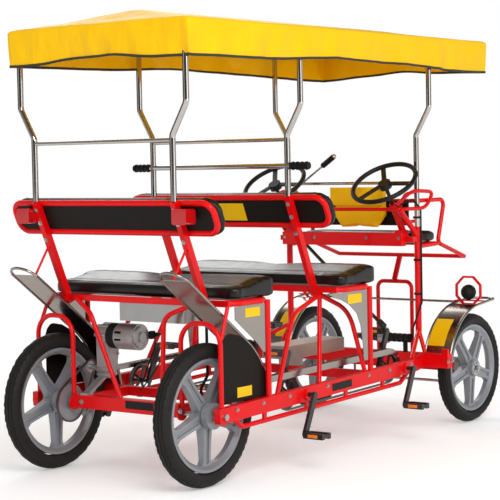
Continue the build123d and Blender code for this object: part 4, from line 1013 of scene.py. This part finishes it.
@dataclass
class Fittings:
    """Bolts, blank plates, reflectors and other small trim."""

    rail_bolts: tuple[float, ...] = (80, 250, 430, 700, 1015, 1180, 1360)
    rail_rise: float = 43 / 1380
    rear_face: Point = (-LEAN_FORWARD, 0.0, -LEAN_DOWN)
    plate: float = 0.0014
    film: float = 0.0007
    film_edge: float = 0.0002
    side_films: tuple[tuple[float, ...], ...] = (
        (935, 496.6, 677, 0.105, 0.040), (208, 496.6, 680, 0.095, 0.036), (165, 482.4, 366, 0.094, 0.040))
    film_radius: float = 313.9
    crank_length: float = 170.0
    crank_angle: float = math.radians(25)

    def bolt(self, name: str, spot: Vector, axis: Vector, size: float = 0.0065) -> bpy.types.Object:
        """Hexagon head on a washer.

        Args:
            name: name of the piece.
            spot: point on the surface.
            axis: outward direction.
            size: head radius in metres.

        Returns:
            The bolt head.
        """
        washer = disc(name + "_w", spot - axis * 0.0005, spot + axis * 0.0014, size * 1.35, 0.0003, 16)
        head = disc(name, spot + axis * 0.001, spot + axis * (0.001 + size * 0.8), size, 0.0006, 6)
        return joined(name, [head, washer])

    def patch(self, name: str, finish: Finish, pieces: Sequence[bpy.types.Object]) -> None:
        """Joins blank plates or films and gives them their finish."""
        settle(joined(name, pieces), "chassis", finish)

    def frame_bolts(self) -> None:
        """Bolt heads on rails, cross beams, uprights and seat frames."""
        bolts = []
        for _, side in SIDES:
            outward = Vector((0.0, float(side), 0.0))
            for x in self.rail_bolts:
                bolts.append(self.bolt("bolt", place(x, side * 510, 303 + self.rail_rise * x), outward))
            for x in (1605, 1640):
                bolts.append(self.bolt("bolt", place(x, side * 560, 333), outward))
            for x in (70, 815):
                bolts.append(self.bolt("bolt", place(x, side * 385, 724), outward, 0.007))
            for shift in (0, 745):
                for share in (0.63, 0.80, 0.93):
                    x = 64 - 180 * share + shift
                    rear = Vector(self.rear_face)
                    spot = place(x, side * UPRIGHT_Y, 712 + 418 * share) + rear * 0.0152
                    bolts.append(self.bolt("bolt", spot, rear, 0.007))
            for y in (300, 235):
                bolts.append(self.bolt("bolt", place(-20, side * y, 296), Vector((-1.0, 0.0, 0.0)), 0.008))
            for y in (150, 330):
                bolts.append(self.bolt("bolt", place(1555, side * y, 905), Vector((-1.0, 0.0, 0.0)), 0.006))
        settle(joined("frame_bolts", bolts), "chassis", ZINC)

    def blanks(self) -> None:
        """Name plates and labels of the photograph, left bare."""
        forward = Vector((1.0, 0.0, 0.0))
        left = Vector((0.0, 1.0, 0.0))
        up = Vector((0.0, 0.0, 1.0))
        rise = Vector((1.0, 0.0, self.rail_rise))
        plates = [slab("plate", place(-20.7, -85, 302), left, up, (0.150, 0.032, self.plate))]
        films = []
        for _, side in SIDES:
            plates.append(slab("plate", place(808, side * 510.7, 316), rise, up, (0.146, 0.032, self.plate)))
            for x, y, z, length, height in self.side_films:
                films.append(slab("film", place(x, side * y, z), forward, up, (length, height, self.film),
                                  self.film_edge))
            films.append(slab("film", place(1599.6, side * 416, 322), left, up, (0.044, 0.030, self.film),
                              self.film_edge))
            films.append(self.fender_film(side))
        lean = Vector((-LEAN_DOWN, 0.0, 0.9184))
        behind = Vector((-0.9184, 0.0, -LEAN_DOWN))
        films.append(slab("film", place(681.85, -30, 1062) + behind * 0.0044, left, lean,
                          (0.150, 0.082, self.film), self.film_edge))
        self.patch("blank_plates", BLANK_BLACK, plates)
        self.patch("blank_films", BLANK_YELLOW, films)

    def fender_film(self, side: int) -> bpy.types.Object:
        """Bare film bent over a front fender.

        Args:
            side: 1 on the left, -1 on the right.

        Returns:
            The film.
        """
        clear_selection()
        bpy.ops.mesh.primitive_grid_add(x_subdivisions=14, y_subdivisions=2, size=1.0)
        film = bpy.context.object
        for vertex in film.data.vertices:
            angle = math.radians(141 + 28 * vertex.co.x)
            x = WHEELBASE + self.film_radius * math.cos(angle)
            z = FRONT_RADIUS + self.film_radius * math.sin(angle)
            vertex.co = place(x, side * (450 + 90 * vertex.co.y * side), z)
        apply_modifier(film, "SOLIDIFY", thickness=0.0005, offset=0.0)
        return film

    def front_tubes(self) -> None:
        """Bar before the riders with its turned-up ends, and the upper ends of the front uprights."""
        tubes = []
        for _, side in SIDES:
            loop = ((1500, 0, 1043), (1500, 385, 1043), (1700, 392, 1043), (1772, 392, 1118),
                    (1590, 385, 1128), (1520, 345, 1062))
            head = ((1651, 870), (1640, 925), (1560, 990), (1503, 1043))
            tubes.append(tube("loop", [place(x, side * y, z) for x, y, z in loop], 0.0088, 0.045))
            tubes.append(tube("head", [place(x, side * UPRIGHT_Y, z) for x, z in head], 0.0135, 0.05))
        settle(joined("front_rail_loops", tubes), "chassis", RED_PAINT)

    def steering_gear(self) -> None:
        """Steering shaft from the left column to the rack with its joints and boots."""
        dark = []
        top = place(1627, 317, 918)
        end = place(1600, -214, 478)
        dark.append(tube("shaft", [top, end], 0.0085))
        way = (end - top).normalized()
        for share in (0.06, 0.80, 0.97):
            spot = top + (end - top) * share
            dark.append(disc("joint", spot - way * 0.021, spot + way * 0.021, 0.017, 0.003, 20))
        dark.append(disc("rack", place(1600, -60, 433), place(1600, -345, 433), 0.0145, 0.002, 24))
        for start in (-88, -168):
            dark.append(disc("collar", place(1600, start, 433), place(1600, start - 22, 433), 0.023, 0.003, 24))
        settle(joined("steering_shaft", dark), "chassis", BLACK_PAINT)
        steel = [disc("housing", place(1600, -190, 433), place(1600, -238, 433), 0.030, 0.005, 28),
                 disc("pinion", place(1600, -214, 433), place(1600, -214, 476), 0.019, 0.003, 24)]
        settle(joined("steering_housing", steel), "chassis", MOTOR_METAL)

    def motor_trim(self) -> None:
        """Rings, label, case bolts, plug and leads of the motor."""
        outward = Vector((0.0, -1.0, 0.0))
        metal = []
        for radius in (0.038, 0.026):
            clear_selection()
            bpy.ops.mesh.primitive_torus_add(
                major_radius=radius, minor_radius=0.0012, major_segments=48, minor_segments=8,
                location=place(135, 28.8, 560), rotation=(math.pi / 2, 0.0, 0.0))
            ring = bpy.context.object
            bake_place(ring)
            metal.append(ring)
        rims = ((7, 0.35, 2 * math.pi, 135, 560, 47), (5, math.pi, 1.25 * math.pi, 125, 422, 35))
        for count, first, sweep, x, z, radius in rims:
            for index in range(count):
                angle = first + sweep * index / count
                spot = place(x + radius * math.cos(angle), 251, z + radius * math.sin(angle))
                metal.append(disc("lug", spot - Vector((0, 0.062, 0)), spot, 0.008, 0.002, 14))
        for index in range(5):
            angle = 2 * math.pi * index / 5 + 0.2
            spot = place(133 + 27 * math.cos(angle), 188, 470 + 60 * math.sin(angle))
            metal.append(self.bolt("bolt", spot, outward, 0.005))
        settle(joined("motor_details", metal), "chassis", MOTOR_METAL)
        dark = [disc("sleeve", place(135, 143, 560), place(135, 188, 560), 0.0535, 0.001, 48),
                soft_box("plug", place(176, 12, 548), place(204, 30, 582), 0.004, 2),
                soft_box("plug", place(196, 4, 556), place(222, 22, 574), 0.003, 2)]
        leads = (
            (0.003, ((210, 12, 570), (250, 20, 566), (286, 30, 520), (262, 40, 440), (190, 40, 380),
                     (150, 60, 330))),
            (0.0035, ((200, 16, 552), (222, 28, 520), (214, 60, 450), (190, 80, 360))),
            (0.004, ((120, 70, 640), (104, 84, 660), (92, 96, 690), (100, 96, 712))),
        )
        for radius, route in leads:
            dark.append(cable("lead", [place(*point) for point in route], radius))
        self.patch("motor_leads", GRIP_RUBBER, dark)
        label = slab("label", place(82, 118, 566), Vector((0.0, 1.0, 0.0)), Vector((0.1, 0.0, 1.0)),
                     (0.036, 0.040, 0.0012))
        self.patch("motor_label", BLANK_BLACK, [label])

    def wheel_trim(self) -> None:
        """Hub flanges, nuts and valve stems that turn with the wheels."""
        ends = (("rear", 0.0, REAR_RADIUS, REAR_WHEEL_Y, 0.171),
                ("front", WHEELBASE, FRONT_RADIUS, FRONT_WHEEL_Y, 0.158))
        for end, x, radius, y, reach in ends:
            for name, side in SIDES:
                outward = Vector((0.0, float(side), 0.0))
                face = place(x, side * (y + 38), radius)
                pieces = [disc("flange", face - outward * 0.001, face + outward * 0.0022, 0.034, 0.0008, 40)]
                for index in range(5):
                    angle = 2 * math.pi * index / 5
                    spot = face + Vector((math.cos(angle) * 0.024, 0.0, math.sin(angle) * 0.024))
                    pieces.append(self.bolt("nut", spot + outward * 0.0022, outward, 0.0042))
                lean = Vector((math.cos(0.9), 0.0, math.sin(0.9)))
                stem = place(x, side * y, radius) + lean * reach
                pieces.append(disc("valve", stem, stem + lean * 0.036, 0.0035, 0.0008, 12))
                settle(joined(f"hub_details_{end}_{name}", pieces), f"{end}_wheel_{name}_body", ZINC)

    def crank_trim(self) -> None:
        """Amber reflectors on the pedals."""
        for end, x in (("rear", 552.0), ("front", 1320.0)):
            z = 291 + self.rail_rise * x
            for name, side in SIDES:
                pieces = []
                for y, way, away in ((548, 1, 1), (362, -1, -1)):
                    spot_x = x - way * math.sin(self.crank_angle) * self.crank_length
                    spot_z = z - way * math.cos(self.crank_angle) * self.crank_length
                    middle = side * (y + away * 58)
                    for face in (-1, 1):
                        low = place(spot_x + face * 31 - 1.4, middle - 24, spot_z - 7)
                        high = place(spot_x + face * 31 + 1.4, middle + 24, spot_z + 7)
                        pieces.append(soft_box("reflector", low, high, 0.0008, 2))
                settle(joined(f"pedal_reflectors_{end}_{name}", pieces), f"{end}_crank_{name}_body", AMBER)

    def pouch_flap(self) -> None:
        """Folded flap and seam of the cloth pouch."""
        flap = soft_box("pouch_flap", place(1574, -232, 1062), place(1582, 70, 1145), 0.003, 2)
        seam = soft_box("pouch_seam", place(1572.5, -232, 1059), place(1576, 70, 1066), 0.001, 2)
        self.patch("pouch_flap", CANVAS, [flap, seam])

    def lever_grip(self) -> None:
        """Black grip on the end of the parking brake lever."""
        knee, top = place(1550, 243, 1149), place(1530, 17, 1291)
        grip = disc("lever_grip", knee + (top - knee) * 0.70, knee + (top - knee) * 1.035, 0.0135, 0.005, 24)
        settle(grip, "chassis", GRIP_RUBBER)

    def build(self) -> None:
        """Makes all the fittings."""
        for job in (self.frame_bolts, self.blanks, self.front_tubes, self.steering_gear, self.motor_trim,
                    self.wheel_trim, self.crank_trim, self.pouch_flap, self.lever_grip):
            job()


@dataclass
class Studio:
    """Camera, lights, floor and backdrop."""

    camera_place: Point = (-5.98125, -4.516, 1.283)
    yaw: float = 0.657
    pitch: float = -0.0539
    roll: float = -0.0200
    lens: float = 119.45
    floor_lift: float = 0.22
    floor_fade: tuple[float, float] = (1.6, 4.0)
    room_light: float = 0.62
    room_shine: float = 0.85
    room_tones: tuple[tuple[float, Colour], ...] = ((0.47, (0.060, 0.050, 0.042)), (0.64, (0.95, 0.94, 0.92)))
    lamp_size: float = 3.0
    lamps: tuple[tuple[str, Point, Point, float], ...] = (
        ("key", (-4.0, -4.5, 4.2), (0.0, 0.0, 0.8), 190.0),
        ("fill", (-1.0, -6.0, 2.0), (0.0, 0.0, 0.7), 60.0),
        ("rim", (4.0, 4.0, 4.0), (0.0, 0.0, 1.0), 90.0),
    )

    def camera(self) -> None:
        """Puts the camera at the photograph's angle."""
        cosine = math.cos(self.pitch)
        forward = Vector((cosine * math.cos(self.yaw), cosine * math.sin(self.yaw), math.sin(self.pitch)))
        level = Vector((math.sin(self.yaw), -math.cos(self.yaw), 0.0))
        above = level.cross(forward)
        right = level * math.cos(self.roll) + above * math.sin(self.roll)
        upward = above * math.cos(self.roll) - level * math.sin(self.roll)
        turn = Matrix((right, upward, -forward)).transposed().to_4x4()
        data = bpy.data.cameras.new("photo_camera")
        data.sensor_fit = "HORIZONTAL"
        data.sensor_width = 36.0
        data.lens = self.lens
        data.clip_end = 200.0
        made = linked("photo_camera", data)
        made.matrix_world = Matrix.Translation(Vector(self.camera_place)) @ turn
        bpy.context.scene.camera = made

    def lamp(self, name: str, spot: Point, target: Point, power: float) -> None:
        """Adds one soft box.

        Args:
            name: name of the lamp.
            spot: where it stands.
            target: where it points.
            power: its power in watts.
        """
        data = bpy.data.lights.new(name, "AREA")
        data.shape = "SQUARE"
        data.size = self.lamp_size
        data.energy = power
        made = linked(name, data)
        made.location = spot
        made.rotation_euler = (Vector(target) - Vector(spot)).to_track_quat("-Z", "Y").to_euler()

    def floor(self) -> None:
        """White floor that keeps the shadow and runs into the white surroundings."""
        clear_selection()
        bpy.ops.mesh.primitive_plane_add(size=60.0)
        ground = bpy.context.object
        ground.name = "studio_floor"
        paint = bpy.data.materials.new("white floor")
        paint.use_nodes = True
        bench = NodeBench(paint.node_tree)
        seen = bench.node("ShaderNodeLightPath").outputs["Is Camera Ray"]
        amount = bench.node("ShaderNodeMath", {0: seen, 1: self.floor_lift}, operation="MULTIPLY")
        lift = bench.node("ShaderNodeEmission", {"Color": WHITE, "Strength": amount.outputs["Value"]})
        matt = bench.node("ShaderNodeBsdfDiffuse", {"Color": (0.95, 0.95, 0.95, 1.0)})
        near = bench.node("ShaderNodeAddShader", {0: matt.outputs["BSDF"], 1: lift.outputs["Emission"]})
        far = bench.node("ShaderNodeEmission", {"Color": WHITE, "Strength": 1.0})
        spot = bench.node("ShaderNodeTexCoord").outputs["Object"]
        length = bench.node("ShaderNodeVectorMath", {0: spot}, operation="LENGTH")
        start, end = self.floor_fade
        limits = {"Value": length.outputs["Value"], "From Min": start, "From Max": end}
        fade = bench.node("ShaderNodeMapRange", limits, interpolation_type="SMOOTHSTEP")
        whole = bench.mixed(fade.outputs["Result"], near, far)
        bench.node("ShaderNodeOutputMaterial", {"Surface": whole.outputs[0]})
        ground.data.materials.append(paint)

    def world(self) -> None:
        """White surroundings with a darker, uneven studio in the reflections."""
        world = bpy.data.worlds.new("white studio")
        world.use_nodes = True
        bench = NodeBench(world.node_tree)
        way = bench.node("ShaderNodeTexCoord").outputs["Generated"]
        patches = bench.node("ShaderNodeTexNoise", {"Vector": way, "Scale": 1.7, "Detail": 1.0})
        ramp = bench.node("ShaderNodeValToRGB", {"Fac": patches.outputs["Fac"]})
        for stop, (position, colour) in zip(ramp.color_ramp.elements, self.room_tones):
            stop.position = position
            stop.color = (*colour, 1.0)
        tones = ramp.outputs["Color"]
        room = bench.node("ShaderNodeBackground", {"Color": tones, "Strength": self.room_shine})
        dim = bench.node("ShaderNodeBackground", {"Color": WHITE, "Strength": self.room_light})
        white = bench.node("ShaderNodeBackground", {"Color": WHITE, "Strength": 1.0})
        rays = bench.node("ShaderNodeLightPath")
        glossy = bench.mixed(rays.outputs["Is Glossy Ray"], dim, room)
        whole = bench.mixed(rays.outputs["Is Camera Ray"], glossy, white)
        bench.node("ShaderNodeOutputWorld", {"Surface": whole.outputs[0]})
        bpy.context.scene.world = world

    def build(self) -> None:
        """Sets the whole studio."""
        self.camera()
        self.floor()
        self.world()
        for lamp in self.lamps:
            self.lamp(*lamp)
        bpy.context.scene.view_settings.view_transform = "Standard"


def dress_nodes(frame: dict[str, Any]) -> None:
    """Gives every CAD node the material of its slot.
    """
    slots = {entry["node"]: entry["material_slot"] for entry in frame["record"]["subparts"]}
    for name, obj in frame["nodes"].items():
        finish = SPECIAL.get(name, FINISHES[slots[name]])
        obj.data.materials.clear()
        obj.data.materials.append(finish.material())
    LOG.info("dressed %d nodes", len(frame["nodes"]))


def main(frame: dict[str, Any]) -> None:
    """Builds everything round the loaded frame.
    """
    logging.basicConfig(level=logging.INFO, format="%(name)s: %(message)s")
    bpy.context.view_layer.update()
    clear_selection()
    dress_nodes(frame)
    Studio().build()
    CanopyCloth().build()
    SoftSeats().build(frame)
    RunningGear().build()
    Fittings().build()


if __name__ == "__main__":
    main(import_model())
